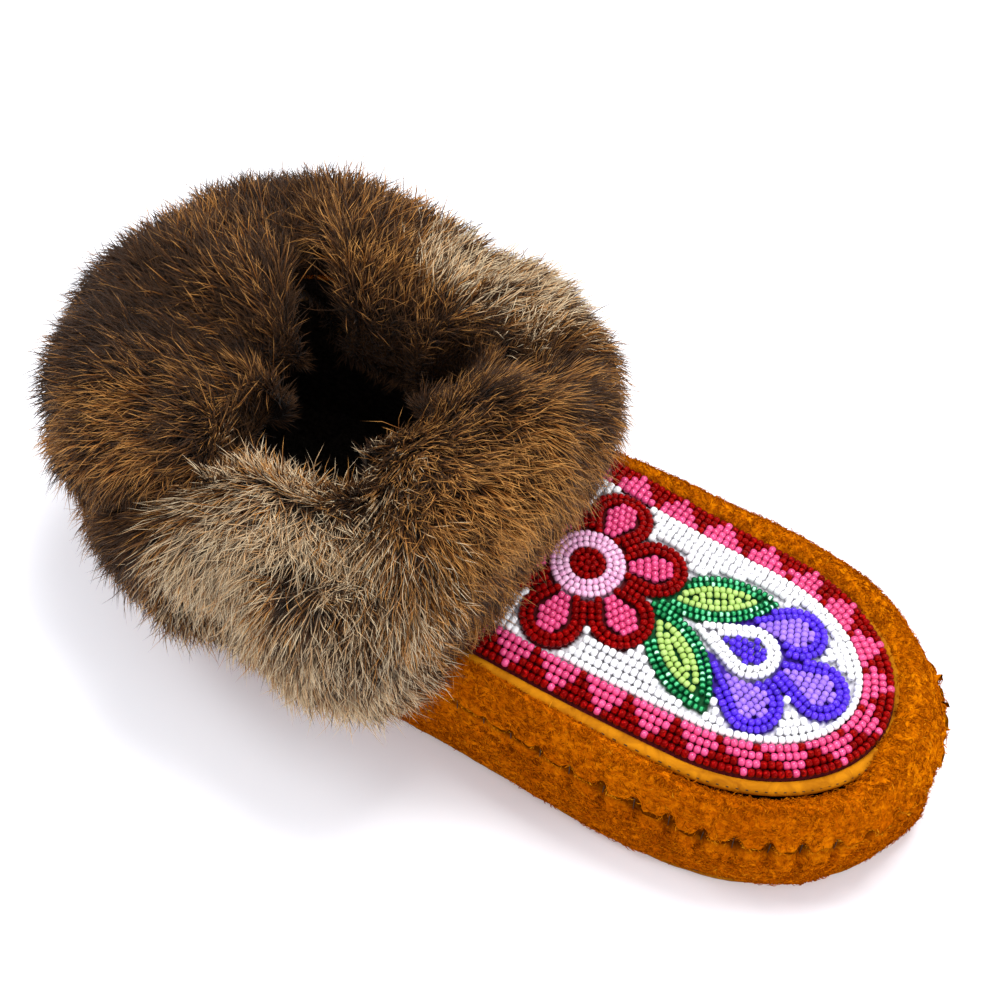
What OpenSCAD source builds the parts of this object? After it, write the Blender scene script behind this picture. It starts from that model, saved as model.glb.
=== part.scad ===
// Beaded moccasin, right foot. The origin is the centre of the sole's flat underside,
// +X runs to the toe, +Y to the inner side of the foot and +Z up. Millimetres.

/* [Sole] */
// Length of the sole, heel to toe
sole_len = 206; // [202:2:212]
// Half width of the sole at the ball of the foot
ball_hw = 38.5; // [37:0.5:41]
// Half width of the sole at the heel
heel_hw = 35.5; // [34:0.5:37]
// Thickness of the suede outsole
outsole_t = 2; // [1.5:0.5:2.5]
// Thickness of the padded insole board
insole_t = 3.5; // [2.5:0.5:4]
// Thickness of the fleece footbed
footbed_t = 4; // [3:0.5:5]

/* [Upper] */
// Height of the vamp edge at the toe
toe_h = 30; // [29:0.5:33]
// Rise of the vamp edge towards the ankle, degrees
vamp_rise = 7; // [5:0.5:8]
// Height of the vamp's crown over its edges
crown = 5; // [4:0.5:6]
// Height of the puckered side seam at the heel
seam_h = 26; // [24:0.5:27]
// Thickness of the suede
suede_t = 2.2; // [1.8:0.2:2.4]
// Bulge of the suede roll over the vamp edge
roll_h = 1.7; // [1.2:0.1:2.4]
// Radius of the piping cord
piping_r = 1.5; // [1.2:0.1:1.7]
// How far the toe leans to the inner side
toe_skew = 3; // [0:0.5:4]

/* [Vamp beadwork] */
// Half width of the beaded vamp
vamp_hw = 29.5; // [29:0.5:30]
// Length of the vamp's rounded toe
vamp_nose = 38; // [36:0.5:40]
// Radius of a seed bead
bead_r = 0.9; // [0.8:0.02:0.92]
// Length of a seed bead
bead_l = 1.34; // [1.1:0.02:1.36]
// Pitch of beads along a thread
bead_pitch = 1.62; // [1.6:0.01:1.75]
// Pitch of the rows
row_pitch = 1.87; // [1.87:0.01:1.95]
// Beads in one triangle of the border
border_period = 7; // [6:1:9]

/* [Ankle] */
// Half length of the suede collar
collar_a = 45; // [43:0.5:46]
// Half width of the suede collar
collar_b = 31; // [29:0.5:32]
// Height of the collar's top edge
collar_top = 66; // [62:1:70]

/* [Fur] */
// Reach of the fur beyond the collar at the sides
fur_out = 32; // [26:1:36]
// Reach of the fur over the opening
fur_in = 14; // [10:1:15]
// Height of the fur's crest at the sides
fur_top = 77; // [73:1:82]

/* [Threads] */
// Number of stitches in the side seam
seam_stitches = 64; // [48:4:80]
// Number of stitches along the piping
piping_stitches = 56; // [40:4:72]
// Number of stitches round the sole
sole_stitches = 76; // [60:4:90]
// Radius of the sewing thread
thread_r = 0.35; // [0.3:0.05:0.45]

/* [Hidden] */

// Foot outline: toe arc, inner side, heel arc, outer side.
toe_a = 47; heel_a = 43;
toe_x = sole_len/2 - toe_a;
heel_x = -sole_len/2 + heel_a;
nt = 32; ns = 12; nh = 18; nn = nt + 2*ns + nh;
vamp_tip = sole_len/2 - 12.7;
nose_x = vamp_tip - vamp_nose;
heel_u = 31;
floor_z = outsole_t + 1.4;
bed_z = floor_z + insole_t + footbed_t;

function sm(t) = let(u = min(1, max(0, t))) u*u*(3 - 2*u);
function skew(x) = toe_skew*sm((x - 20)/85);
function mix(a, b, t) = a + (b - a)*t;
// Edge height, held level behind the instep.
function edge_z(x) = min(46, toe_h + (vamp_tip - x)*tan(vamp_rise));
function vamp_w(x) = vamp_hw + 1.5*min(1, max(0, (nose_x - x)/52));
// Height of the vamp's top surface at (x, y), y taken without the toe's lean.
function rho(x, y) = x > nose_x ? norm([(x - nose_x)/vamp_nose, y/vamp_hw]) : abs(y)/vamp_w(x);
function vamp_z(x, y) = edge_z(x) + crown*(1 - pow(min(1, rho(x, y)), 2));

// Point i of a closed outline with toe ellipse (tx, ta, tb) and heel ellipse (hx, ha, hb), set out by d.
function oval(i, tx, ta, tb, hx, ha, hb, waist, d) =
  i < nt ? let(f = -90 + 180*i/nt) [tx + (ta + d)*cos(f), (tb + d)*sin(f)]
  : i < nt + ns ? let(s = (i - nt)/ns) [mix(tx, hx, s), mix(tb, hb, sm(s)) - waist*pow(sin(180*s), 2) + d]
  : i < nt + ns + nh ? let(f = 90 + 180*(i - nt - ns)/nh) [hx + (ha + d)*cos(f), (hb + d)*sin(f)]
  : let(s = (i - nt - ns - nh)/ns) [mix(hx, tx, s), -(mix(hb, tb, sm(s)) - waist*pow(sin(180*s), 2) + d)];
function foot(i, d) = oval(i, toe_x, toe_a, ball_hw, heel_x, heel_a, heel_hw, 1.5, d);
function vamp(i, d) = oval(i, nose_x, vamp_nose, vamp_hw, heel_x, 36, heel_u, 0, d);
// Ring between the vamp edge (f = 0) and the foot outline (f = 1), set in by t.
// Its height is z, or z + edge height where up is 1.
function ring(f, t, z, up) = [for (i = [0:nn-1])
  let(p = mix(vamp(i, -t), foot(i, -t), f)) [p[0], p[1] + skew(p[0]), z + up*edge_z(p[0])]];
// Side seam height: lower round the toe.
function seam_z(x) = seam_h - 3.5*sm((x - 20)/80);
// The same ring with its height a part u of the way from the side seam to the edge.
function band(f, t, u, dz) = [for (p = ring(f, t, 0, 0)) [p[0], p[1], mix(seam_z(p[0]), edge_z(p[0]), u) + dz]];

// Solid through a list of rings with the same number of points: capped, or joined end to end.
module stack(rings, wrap = false) {
  n = len(rings[0]); m = len(rings);
  polyhedron([for (r = rings) each r],
    concat([for (k = [0:m - (wrap ? 1 : 2)]) for (i = [0:n-1])
        let(a = k*n + i, b = k*n + (i + 1)%n, c = ((k + 1)%m)*n + (i + 1)%n, d = ((k + 1)%m)*n + i)
        each [[a, c, b], [a, d, c]]],
      wrap ? [] : [[for (i = [0:n-1]) i], [for (i = [n-1:-1:0]) (m-1)*n + i]]), convexity = 10);
}
// Thread from p to q.
module strand(p, q, r) {
  v = q - p;
  translate(p) rotate([0, acos(v[2]/norm(v)), atan2(v[1], v[0])]) cylinder(r = r, h = norm(v), $fn = 20);
}
function flat(r) = [for (p = r) [p[0], p[1]]];

module outsole() color([0.62, 0.38, 0.08]) {
  linear_extrude(outsole_t*0.4) polygon(flat(ring(0.78, 0, 0, 0)));
  translate([0, 0, outsole_t*0.4]) linear_extrude(outsole_t*0.6) polygon(flat(ring(0.93, 0, 0, 0)));
}
module insole_board() color([0.75, 0.7, 0.6])
  translate([0, 0, floor_z]) linear_extrude(insole_t) polygon(flat(ring(0.86, 3.2, 0, 0)));
module footbed() color([0.86, 0.82, 0.72]) {
  b = floor_z + insole_t;
  stack([ring(0.86, 4.6, b, 0), ring(0.86, 4.4, b + 1, 0), ring(0.84, 4.4, bed_z - 1, 0), ring(0.76, 5.2, bed_z, 0)]);
}
// Suede sheet under the foot, turned up to the side seam.
module sole_wrap() color([0.75, 0.46, 0.08])
  stack([ring(0.86, 0, outsole_t, 0), ring(0.97, 0, outsole_t + 0.7, 0), ring(1.02, 0, outsole_t + 3.5, 0),
    ring(1.05, 0, outsole_t + 8, 0), band(1.07, 0, 0, -9), band(1.075, 0, 0, -4), band(1.055, 0, 0, 0.4),
    band(1.03, suede_t*0.5, 0, 1.1), band(0.99, suede_t, 0, 0.2),
    band(1.03, suede_t, 0, -4.5), band(1.02, suede_t, 0, -9.5), ring(1.0, suede_t, outsole_t + 7.5, 0), ring(0.97, suede_t, floor_z + 1.6, 0),
    ring(0.9, suede_t, floor_z, 0)]);
// Upper band: from the side seam up to the roll beside the vamp's edge.
module side_band() color([0.82, 0.51, 0.08])
  stack([band(1.06, 0, 0, 1.6), band(1.05, 0, 0.3, 0), band(1, 0, 0.62, 0), band(0.91, 0, 0.88, 0),
    band(0.8, 0, 1, roll_h*0.4), band(0.66, 0, 1, roll_h), band(0.5, 0, 1, roll_h*0.7), band(0.36, 0, 1, -0.2),
    band(0.3, 0, 1, -1.7), band(0.35, 0, 1, -2.6), band(0.5, 0, 1, roll_h*0.7 - suede_t - 0.3), band(0.66, 0.4, 1, roll_h - suede_t - 0.3),
    band(0.78, 1.4, 1, -2), band(0.9, 2, 0.8, -1.8), band(1, suede_t, 0.5, 0), band(1.045, suede_t, 0.2, 0.6), band(1.04, suede_t*0.6, 0, 1.7)], true);
// Fleece lining of the foot cavity.
module foot_lining() color([0.8, 0.74, 0.62])
  stack([ring(0.9, 3, bed_z - 3, 0), ring(0.96, 3, bed_z + 4, 0), band(0.96, 3, 0.2, 0), band(0.89, 3, 0.7, -3),
    band(0.77, 2.6, 1, -4.4), band(0.6, 1.2, 1, -3.8), band(0.42, 0.6, 1, -4.4),
    band(0.42, 0.6, 1, -6.2), band(0.6, 2.6, 1, -6), band(0.75, 4.4, 1, -7),
    band(0.85, 5.2, 0.6, -3.5), band(0.92, 5.2, 0.1, 0), ring(0.92, 5.2, bed_z + 4, 0), ring(0.86, 4.9, bed_z - 3, 0)], true);

module seam_stitch(i, n) {
  k = i*nn/n; a = floor(k); k2 = k + 0.3*nn/n; b = floor(k2);
  lo = band(1.1, 0, 0, -2); hi = band(1.085, 0, 0, 2.6);
  strand(mix(lo[a], lo[(a + 1)%nn], k - a), mix(hi[b%nn], hi[(b + 1)%nn], k2 - b), thread_r);
}
module side_seam_thread() color([0.9, 0.62, 0.15]) for (i = [0:seam_stitches-1]) seam_stitch(i, seam_stitches);
module sole_thread() color([0.5, 0.3, 0.08]) {
  r = ring(0.995, 0, outsole_t + 0.9, 0);
  for (i = [0:sole_stitches-1]) let(k = i*nn/sole_stitches, a = floor(k), p = mix(r[a], r[(a+1)%nn], k - a),
      k2 = k + 0.62*nn/sole_stitches, b = floor(k2), q = mix(r[b%nn], r[(b+1)%nn], k2 - b))
    strand(p, q, thread_r);
}
// Closing stitches at the back of the heel.
module heel_seam_thread() color([0.5, 0.3, 0.08])
  for (i = [0:5]) let(z = 25.5 + 3*i, x = -sole_len/2 - 1.1 + max(0, z - 34)*0.32)
    strand([x, -1.8, z], [x, 1.8, z + 0.8], thread_r);

// Beaded panel: from the vamp's edge back to the ankle collar.
vs = 41;
function vamp_edge(s) =
  let(c = nose_x + 48, h = 90*vamp_nose/38, l = s < 0.28 ? 0 : s > 0.72 ? 2 : 1)
  l == 0 ? let(x = mix(-48, nose_x, s/0.28)) [x, -vamp_w(x)]
  : l == 2 ? let(x = mix(nose_x, -48, (s - 0.72)/0.28)) [x, vamp_w(x)]
  : let(f = -90 + 180*(s - 0.28)/0.44) [nose_x + vamp_nose*cos(f), vamp_hw*sin(f)];
function vamp_inner(s) = let(f = -90 + 180*s) [-48 + (collar_a + 1.3)*cos(f), (collar_b + 0.6)*sin(f)];
module vamp_backing() color([0.9, 0.87, 0.82])
  stack([for (i = [0:vs-1]) let(s = i/(vs - 1), o = vamp_edge(s), q = vamp_inner(s),
      w = [for (j = [0:9]) let(p = mix(o, [q[0], abs(q[1]) > vamp_w(q[0]) - 0.4 ? sign(q[1])*(vamp_w(q[0]) - 0.4) : q[1]], j/9)) [p[0], p[1] + skew(p[0]), vamp_z(p[0], p[1])]])
    concat(w, [for (j = [9:-1:0]) w[j] - [0, 0, 1.5]])]);
pipe_rng = [0:72];
function pipe_at(s, d) = let(e = 0.02, p = vamp_edge(s), a = vamp_edge(min(1, s + e)), b = vamp_edge(max(0, s - e)),
    t = (a - b)/norm(a - b), q = p + d*[t[1], -t[0]]) [q[0], q[1] + skew(q[0]), edge_z(q[0])];
module vamp_piping() color([0.9, 0.6, 0.1])
  stack([for (i = pipe_rng) let(s = 0.02 + 0.96*i/72)
    [for (j = [0:5]) let(f = 60*j + 30) pipe_at(s, piping_r + 0.1 + piping_r*cos(f)) + [0, 0, piping_r*sin(f) - 0.7]]]);
module piping_thread() color([0.25, 0.13, 0.03])
  for (i = [0:piping_stitches-1]) let(s = 0.06 + 0.88*i/piping_stitches, g = 0.88*0.24/piping_stitches)
    strand(pipe_at(s, 3.1) + [0, 0, 0.3], pipe_at(s + g, 3.1) + [0, 0, 0.3], thread_r*0.8);

// Bead rows. A row is a polyline; beads are set along it at an even pitch as [x, y, heading, place in the polyline].
function cum(p) = [for (i = 0, s = 0; i < len(p); s = i + 1 < len(p) ? s + norm(p[i+1] - p[i]) : s, i = i + 1) s];
function along(p, pitch = bead_pitch) =
  let(c = cum(p), l = c[len(p)-1], n = floor(l/pitch),
    tx = [for (i = [0:len(p)-1]) [c[i], p[i][0]]], ty = [for (i = [0:len(p)-1]) [c[i], p[i][1]]])
  n < 1 ? [] : [for (k = [0:n-1]) let(s = (k + 0.5)*l/n, a = max(0, s - 0.4), b = min(l, s + 0.4))
    [lookup(s, tx), lookup(s, ty), atan2(lookup(b, ty) - lookup(a, ty), lookup(b, tx) - lookup(a, tx)), lookup(s, [for (i = [0:len(p)-1]) [c[i], i]])]];
// True where beads b and o would run into each other.
function hits(b, o) = let(dx = o[0] - b[0], dy = o[1] - b[1]) abs(dx) > 2.3 || abs(dy) > 2.3 ? false
  : let(c = cos(b[2]), s = sin(b[2]), k = abs(cos(o[2] - b[2])), q = abs(sin(o[2] - b[2])), h = bead_l/2, r = bead_r, slack = 0.66*k*q)
    abs(dx*c + dy*s) < h + h*k + r*q - slack && abs(dy*c - dx*s) < r + r*k + h*q - slack;
function free(b, kept, i = 0) = i >= len(kept) ? true : hits(b, kept[i]) ? false : free(b, kept, i + 1);
// The list without the beads that have no room.
function thin(list, i = 0, kept = []) = i >= len(list) ? kept
  : thin(list, i + 1, free(list[i], kept) ? concat(kept, [list[i]]) : kept);
module bead() rotate_extrude($fn = 16) polygon([[0.3, -bead_l/2], [bead_r*0.55, -bead_l/2], [bead_r, -bead_l*0.17],
  [bead_r, bead_l*0.17], [bead_r*0.55, bead_l/2], [0.3, bead_l/2]]);
module sew(list) for (b = list) {
  dx = cos(b[2])*0.8; dy = sin(b[2])*0.8;
  p = atan2(vamp_z(b[0] + dx, b[1] + dy) - vamp_z(b[0] - dx, b[1] - dy), 1.6);
  translate([b[0], b[1] + skew(b[0]), vamp_z(b[0], b[1]) + bead_r + 0.25]) rotate([0, 90 - p, b[2]]) bead();
}

// Motifs. A drop is [x, y, radius, half angle, direction of its point]; a leaf is [x, y, length, half width, direction].
flower = [16.5, 0];
petals = [for (a = [-32, 28, 88, 148, 208, 268]) [flower[0] + 15.1*cos(a), flower[1] + 15.1*sin(a), 7.4, 28.5, a + 180]];
leaves = [[32.2, 0.4, 29.4, 6.3, 29.5], [32.2, -0.4, 29.8, 6.7, -37.8]];
heart = [57.4, -0.8, 6.7, 26, 180];
bells = [[64.3, 9.4, 6.3, 22, 200], [74.2, -0.9, 6.4, 23, 180], [63.0, -11.6, 6.3, 22, 160]];
function local(p, o, a) = let(v = [p[0] - o[0], p[1] - o[1]]) [v[0]*cos(a) + v[1]*sin(a), abs(v[1]*cos(a) - v[0]*sin(a))];
function sd_drop(p, d) = let(q = local(p, d, d[4])) atan2(q[1], q[0]) > 90 - d[3] ? norm(q) - d[2] : q[0]*sin(d[3]) + q[1]*cos(d[3]) - d[2];
function leaf_r(l) = (l[2]*l[2]/4 + l[3]*l[3])/(2*l[3]);
function sd_leaf(p, l) = let(q = local(p, l, l[4]), r = leaf_r(l)) norm([q[0] - l[2]/2, q[1] + r - l[3]]) - r;
function place(p, o, a) = [o[0] + p[0]*cos(a) - p[1]*sin(a), o[1] + p[0]*sin(a) + p[1]*cos(a)];
function drop_row(d, e) = let(r = d[2] - e, al = d[3], n = 20)
  [for (p = concat([[r/sin(al), 0]], [for (k = [0:n]) let(f = mix(90 - al, 270 + al, k/n)) r*[cos(f), sin(f)]], [[r/sin(al), 0]])) place(p, d, d[4])];
function leaf_row(l, e, side) = let(r0 = leaf_r(l), r = r0 - e, h = r0 - l[3], w = acos(h/r), n = 16)
  [for (k = [0:n]) let(f = mix(-w, w, k/n)) place([l[2]/2 + r*sin(f), side*(r*cos(f) - h)], l, l[4])];
function circle_row(o, r) = [for (k = [0:24]) [o[0] + r*cos(15*k), o[1] + r*sin(15*k)]];
// Straight rows that fill a drop or leaf.
function fill(o, a, x0, x1, lanes) = [for (y = lanes) each [for (b = along([place([x0, y], o, a), place([x1, y], o, a)], mp)) b]];
function in_flower(p) = norm([p[0] - flower[0], p[1] - flower[1]]);
function sd_petals(p) = min([for (d = petals) sd_drop(p, d)]);
function sd_leaves(p) = min([for (l = leaves) sd_leaf(p, l)]);
function sd_bells(p) = min([for (d = bells) sd_drop(p, d)]);
function sd_all(p) = min(in_flower(p) - 8.4, sd_petals(p), sd_leaves(p), sd_bells(p), sd_drop(p, heart));
// Row k of the border and ground, counted in from the vamp's edge.
row_end = -1;
function u_row(k) = let(d = 1.1 + row_pitch*k, a = vamp_nose - d, b = vamp_hw - d)
  concat([for (j = [0:12]) let(x = mix(row_end, nose_x, j/12)) [x, -(vamp_w(x) - d)]],
    [for (j = [1:23]) let(f = -90 + 7.5*j) [nose_x + a*cos(f), b*sin(f)]],
    [for (j = [12:-1:0]) let(x = mix(row_end, nose_x, j/12)) [x, vamp_w(x) - d]]);
// Places along the middle of the border, which the triangles are spaced by.
mid_cum = cum(u_row(1.5));
mid_len = mid_cum[len(mid_cum)-1];
mid_at = [for (i = [0:len(mid_cum)-1]) [i, mid_cum[i]]];
tri_pitch = 10.75*border_period/7;
function in_triangle(b, k) = let(t = (lookup(b[3], mid_at) - mid_len/2 + 1.2)/tri_pitch + 0.5) abs(t - floor(t) - 0.5)*tri_pitch/bead_pitch < [0.55, 1.55, 2.4, 2.85][k];
border = [for (k = [0:3]) along(u_row(k))];
ground = thin([for (k = [4:15]) each [for (b = along(k < 15 ? u_row(k) : [[row_end, 0], [nose_x + 30, 0]])) if (sd_all(b) > 0.9) b]]);
mp = 1.5; // pitch of the motifs' beads
row_in = [0.9, 2.8]; // insets of a motif's two outline rows
core_beads = thin(concat([[flower[0], flower[1], 0, 0]], along(circle_row(flower, 2), 1.6), along(circle_row(flower, 3.87), 1.55)));
petal_beads = thin([for (e = row_in) each [for (n = [0:5]) each [for (b = along(drop_row(petals[n], e), mp)) if (in_flower(b) > 9.35) b]]]);
petal_fill = thin([for (d = petals) each [for (b = fill(d, d[4], -d[2], d[2]/sin(d[3]), [0, -1.88, 1.88])) if (sd_drop(b, d) < -4.6 && in_flower(b) > 9.4) b]]);
leaf_beads = thin([for (e = row_in) each [for (n = [0:1]) each [for (s = [-1, 1]) each [for (b = along(leaf_row(leaves[n], e, s), mp))
    if (sd_petals(b) > 0.8) b]]]]);
leaf_fill = thin([for (l = leaves) each [for (b = fill(l, l[4], 0, l[2], [0, -1.88, 1.88])) if (sd_leaf(b, l) < -4.6) b]]);
heart_beads = thin([for (e = row_in) each [for (b = along(drop_row(heart, e), mp + 0.08)) if (sd_leaves(b) > 0.8) b]]);
heart_fill = thin([for (b = fill(heart, heart[4], -heart[2], heart[2]/sin(heart[3]), [0, -1.88, 1.88])) if (sd_drop(b, heart) < -4.6) b]);
bell_beads = thin([for (e = row_in) each [for (n = [0:2]) each [for (b = along(drop_row(bells[n], e), mp))
    if (sd_drop(b, heart) > 0.9 && sd_leaves(b) > 0.9) b]]]);
bell_fill = thin([for (d = bells) each [for (b = fill(d, d[4], -d[2], d[2]/sin(d[3]), [0, -1.88, 1.88])) if (sd_drop(b, d) < -4.6 && sd_drop(b, heart) > 1) b]]);

module beads_border_red() color([0.5, 0.02, 0.04]) for (k = [0:3]) sew([for (b = border[k]) if (!in_triangle(b, k)) b]);
module beads_border_pink() color([0.93, 0.33, 0.55]) for (k = [0:3]) sew([for (b = border[k]) if (in_triangle(b, k)) b]);
module beads_ground_white() color([0.95, 0.95, 0.95]) sew(ground);
module beads_flower_red() color([0.5, 0.02, 0.04]) { sew(core_beads); sew(petal_beads); }
module beads_flower_ring() color([0.92, 0.6, 0.8]) for (r = [5.74, 7.61]) sew(along(circle_row(flower, r), 1.55));
module beads_flower_pink() color([0.93, 0.33, 0.55]) sew(petal_fill);
module beads_leaf_green() color([0.08, 0.45, 0.2]) sew(leaf_beads);
module beads_leaf_lime() color([0.6, 0.8, 0.3]) sew(leaf_fill);
module beads_tulip_violet() color([0.33, 0.17, 0.88]) { sew(bell_beads); sew(heart_fill); }
module beads_tulip_lavender() color([0.6, 0.43, 0.9]) sew(bell_fill);
module beads_tulip_white() color([0.95, 0.95, 0.95]) sew(heart_beads);

// Ankle: a suede collar, its lining and the fur folded over its top edge.
na = 60;
function ankle(f, d) = [-48 + (collar_a + d)*cos(f), (collar_b + d)*sin(f)];
function collar_foot(f) = 46.6 + 2.6*pow(max(0, cos(f)), 6);
function collar_ring(d, u) = [for (i = [0:na-1]) let(f = 360*i/na, p = ankle(f, d + 1.5*u)) [p[0], p[1], mix(collar_foot(f), collar_top, u)]];
module ankle_collar() color([0.78, 0.48, 0.08])
  stack([collar_ring(0.9, 0), collar_ring(0.9, 0.5), collar_ring(0.9, 1), collar_ring(-0.9, 1), collar_ring(-0.9, 0.5), collar_ring(-0.9, 0)], true);
module collar_lining() color([0.16, 0.11, 0.08])
  stack([collar_ring(-1.1, -0.3), collar_ring(-1.1, 0.5), collar_ring(-1.1, 0.97), collar_ring(-2.3, 0.97), collar_ring(-2.3, 0.5), collar_ring(-2.3, -0.3)], true);
module collar_thread() color([0.5, 0.3, 0.08])
  for (i = [0:47]) let(f = 7.5*i, p = ankle(f, 1.3), q = ankle(f + 4, 1.3), z = collar_foot(f) + 1.5)
    strand([p[0], p[1], z], [q[0], q[1], z], thread_r);

// Fur cross-section round the collar at angle f: [out, up] points of a folded-over strip.
function bell(f, c, w) = let(d = abs(((f - c + 540) % 360) - 180)) d < w ? 0.5 + 0.5*cos(180*d/w) : 0;
function fur_o(f) = fur_out - 5*bell(f, 180, 70) - 13*bell(f, 0, 75) - 3*bell(f, -30, 40) + 1.5*sin(5*f);
function fur_i(f) = fur_in + 3*bell(f, 75, 50) + 11*bell(f, 195, 60) + 11*bell(f, 0, 70);
function fur_hi(f) = fur_top + 11*bell(f, 0, 80) + 10*bell(f, 120, 80) + 1.2*sin(7*f);
function fur_lo(f) = 28 + 22.5*bell(f, 0, 62) + 4*bell(f, 180, 60);
function fur_section(f) = let(o = fur_o(f), i = fur_i(f), h = fur_hi(f), l = fur_lo(f), g = max(10.5, 0), m = 47.5 + 4*bell(f, 0, 70))
  [for (q = [[min(g, o*0.6), l + 2], [o*0.55, l], [o*0.82, l + 5], [o*0.97, l + 15 - 6*bell(f, 0, 60)], [o, mix(l, h, 0.55)], [o*0.92, mix(l, h, 0.74)],
      [o*0.7, mix(l, h, 0.9)], [o*0.38, h - 0.8], [0, h], [-i*0.45, h - 2.5], [-i*0.85, mix(m, h, 0.72)], [-i, mix(m, h, 0.4)], [-i*0.85, m + 4], [-i*0.45, m + 2.5],
      [-3.2, m + 6], [-1.6, collar_top + 1], [3.2, collar_top + 1.2], [4, m + 6], [min(g, o*0.6) - 1, max(m - 1, l + 3)]])
    let(p = ankle(f, q[0])) [p[0], p[1], q[1]]];
seam_near = -78; seam_far = 42;
module fur_front() color([0.45, 0.28, 0.13])
  stack([for (k = [0:30]) fur_section(mix(seam_near + 0.4, seam_far - 0.4, k/30))]);
module fur_back() color([0.4, 0.25, 0.12])
  stack([for (k = [0:60]) fur_section(mix(seam_far + 0.4, seam_near + 359.6, k/60))]);

outsole();
insole_board();
footbed();
sole_wrap();
side_band();
foot_lining();
side_seam_thread();
sole_thread();
heel_seam_thread();
vamp_backing();
vamp_piping();
piping_thread();
beads_border_red();
beads_border_pink();
beads_ground_white();
beads_flower_red();
beads_flower_ring();
beads_flower_pink();
beads_leaf_green();
beads_leaf_lime();
beads_tulip_violet();
beads_tulip_lavender();
beads_tulip_white();
ankle_collar();
collar_lining();
collar_thread();
fur_front();
fur_back();
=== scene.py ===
import math
import bpy
import numpy as np
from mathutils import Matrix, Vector


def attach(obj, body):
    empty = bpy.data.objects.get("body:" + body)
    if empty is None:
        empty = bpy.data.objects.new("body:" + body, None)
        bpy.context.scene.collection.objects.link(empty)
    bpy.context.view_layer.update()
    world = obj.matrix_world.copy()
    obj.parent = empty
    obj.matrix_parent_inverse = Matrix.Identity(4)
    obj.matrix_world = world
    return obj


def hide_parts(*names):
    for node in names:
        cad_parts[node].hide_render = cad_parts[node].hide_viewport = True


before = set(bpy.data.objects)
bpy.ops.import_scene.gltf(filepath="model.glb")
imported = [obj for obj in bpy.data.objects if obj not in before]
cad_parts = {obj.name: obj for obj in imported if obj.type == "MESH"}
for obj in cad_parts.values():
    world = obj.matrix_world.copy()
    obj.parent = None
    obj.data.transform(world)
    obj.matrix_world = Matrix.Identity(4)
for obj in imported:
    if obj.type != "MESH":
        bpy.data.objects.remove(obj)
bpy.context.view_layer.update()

# ---------------------------------------------------------------- shape of the shoe, millimetres
SOLE, BALL, HEEL = 206.0, 38.5, 35.5
TOE_H, RISE, CROWN, SEAM_H, SUEDE_T, ROLL = 30.0, math.tan(math.radians(7)), 5.0, 26.0, 2.2, 1.7
VAMP_HW, NOSE, SKEW = 29.5, 38.0, 3.0            # half width, length of the round end, sideways lean
BEAD_R, BEAD_L, PITCH, ROW = 0.96, 1.6, 1.6, 1.83
COL_A, COL_B, ANKLE_X = 45.0, 31.0, -48.0        # half length, half width and middle of the ankle oval
TOE_X, HEEL_X = SOLE / 2 - 47, -SOLE / 2 + 43
TIP = SOLE / 2 - 12.7
NOSE_X = TIP - NOSE
NT, NS, NH = 32, 12, 18                          # spans of the outline's parameter: toe, one side, heel
NN = NT + 2 * NS + NH
FLOOR_Z, BED_Z = 3.4, 10.9


def sm(t):
    """Smooth step from 0 to 1 as t goes from 0 to 1."""
    u = np.clip(t, 0, 1)
    return u * u * (3 - 2 * u)


def gauss(d, width):
    """1 where d is 0, falling off over the given width."""
    return np.exp(-(d / width) ** 2)


def skew(x):
    return SKEW * sm((x - 20) / 85)


def edge_z(x):
    return np.minimum(46, TOE_H + (TIP - x) * RISE)


def seam_z(x):
    return SEAM_H - 3.5 * sm((x - 20) / 80)


def vamp_w(x):
    return VAMP_HW + 1.5 * np.clip((NOSE_X - x) / 52, 0, 1)


def vamp_z(x, y):
    nose = np.hypot((x - NOSE_X) / NOSE, y / VAMP_HW)
    rho = np.where(x > NOSE_X, nose, np.abs(y) / vamp_w(x))
    return edge_z(x) + CROWN * (1 - np.minimum(1, rho) ** 2)


def oval(s, tx, ta, tb, hx, ha, hb, waist, d):
    """Points of a foot-shaped outline at parameters s in [0, NN), set out by d."""
    s = np.asarray(s, float) % NN
    d = np.asarray(d, float) + 0 * s
    out = np.zeros(s.shape + (2,))
    side = lambda u: tb + (hb - tb) * sm(u) - waist * np.sin(np.pi * u) ** 2 + d
    f = np.radians(-90 + 180 * s / NT)
    out[..., 0], out[..., 1] = tx + (ta + d) * np.cos(f), (tb + d) * np.sin(f)
    u = (s - NT) / NS
    m = (s >= NT) & (s < NT + NS)
    out[m] = np.stack([tx + (hx - tx) * u, side(u)], -1)[m]
    f = np.radians(90 + 180 * (s - NT - NS) / NH)
    m = (s >= NT + NS) & (s < NT + NS + NH)
    out[m] = np.stack([hx + (ha + d) * np.cos(f), (hb + d) * np.sin(f)], -1)[m]
    u = (s - NT - NS - NH) / NS
    m = s >= NT + NS + NH
    out[m] = np.stack([hx + (tx - hx) * u, -side(1 - u)], -1)[m]
    return out


def ring(s, f, t, z, up=0.0, u=None):
    """Closed ring between the vamp's edge (f 0) and the foot's outline (f 1), set in by t."""
    v = oval(s, NOSE_X, NOSE, VAMP_HW, HEEL_X, 36, 31, 0, -t)
    o = oval(s, TOE_X, 47, BALL, HEEL_X, 43, HEEL, 1.5, -t)
    p = v + (o - v) * f
    x, y = p[..., 0], p[..., 1] + skew(p[..., 0])
    zz = z + up * edge_z(x) if u is None else seam_z(x) + (edge_z(x) - seam_z(x)) * u + z
    return np.stack([x, y, zz + 0 * x], -1)


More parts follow.
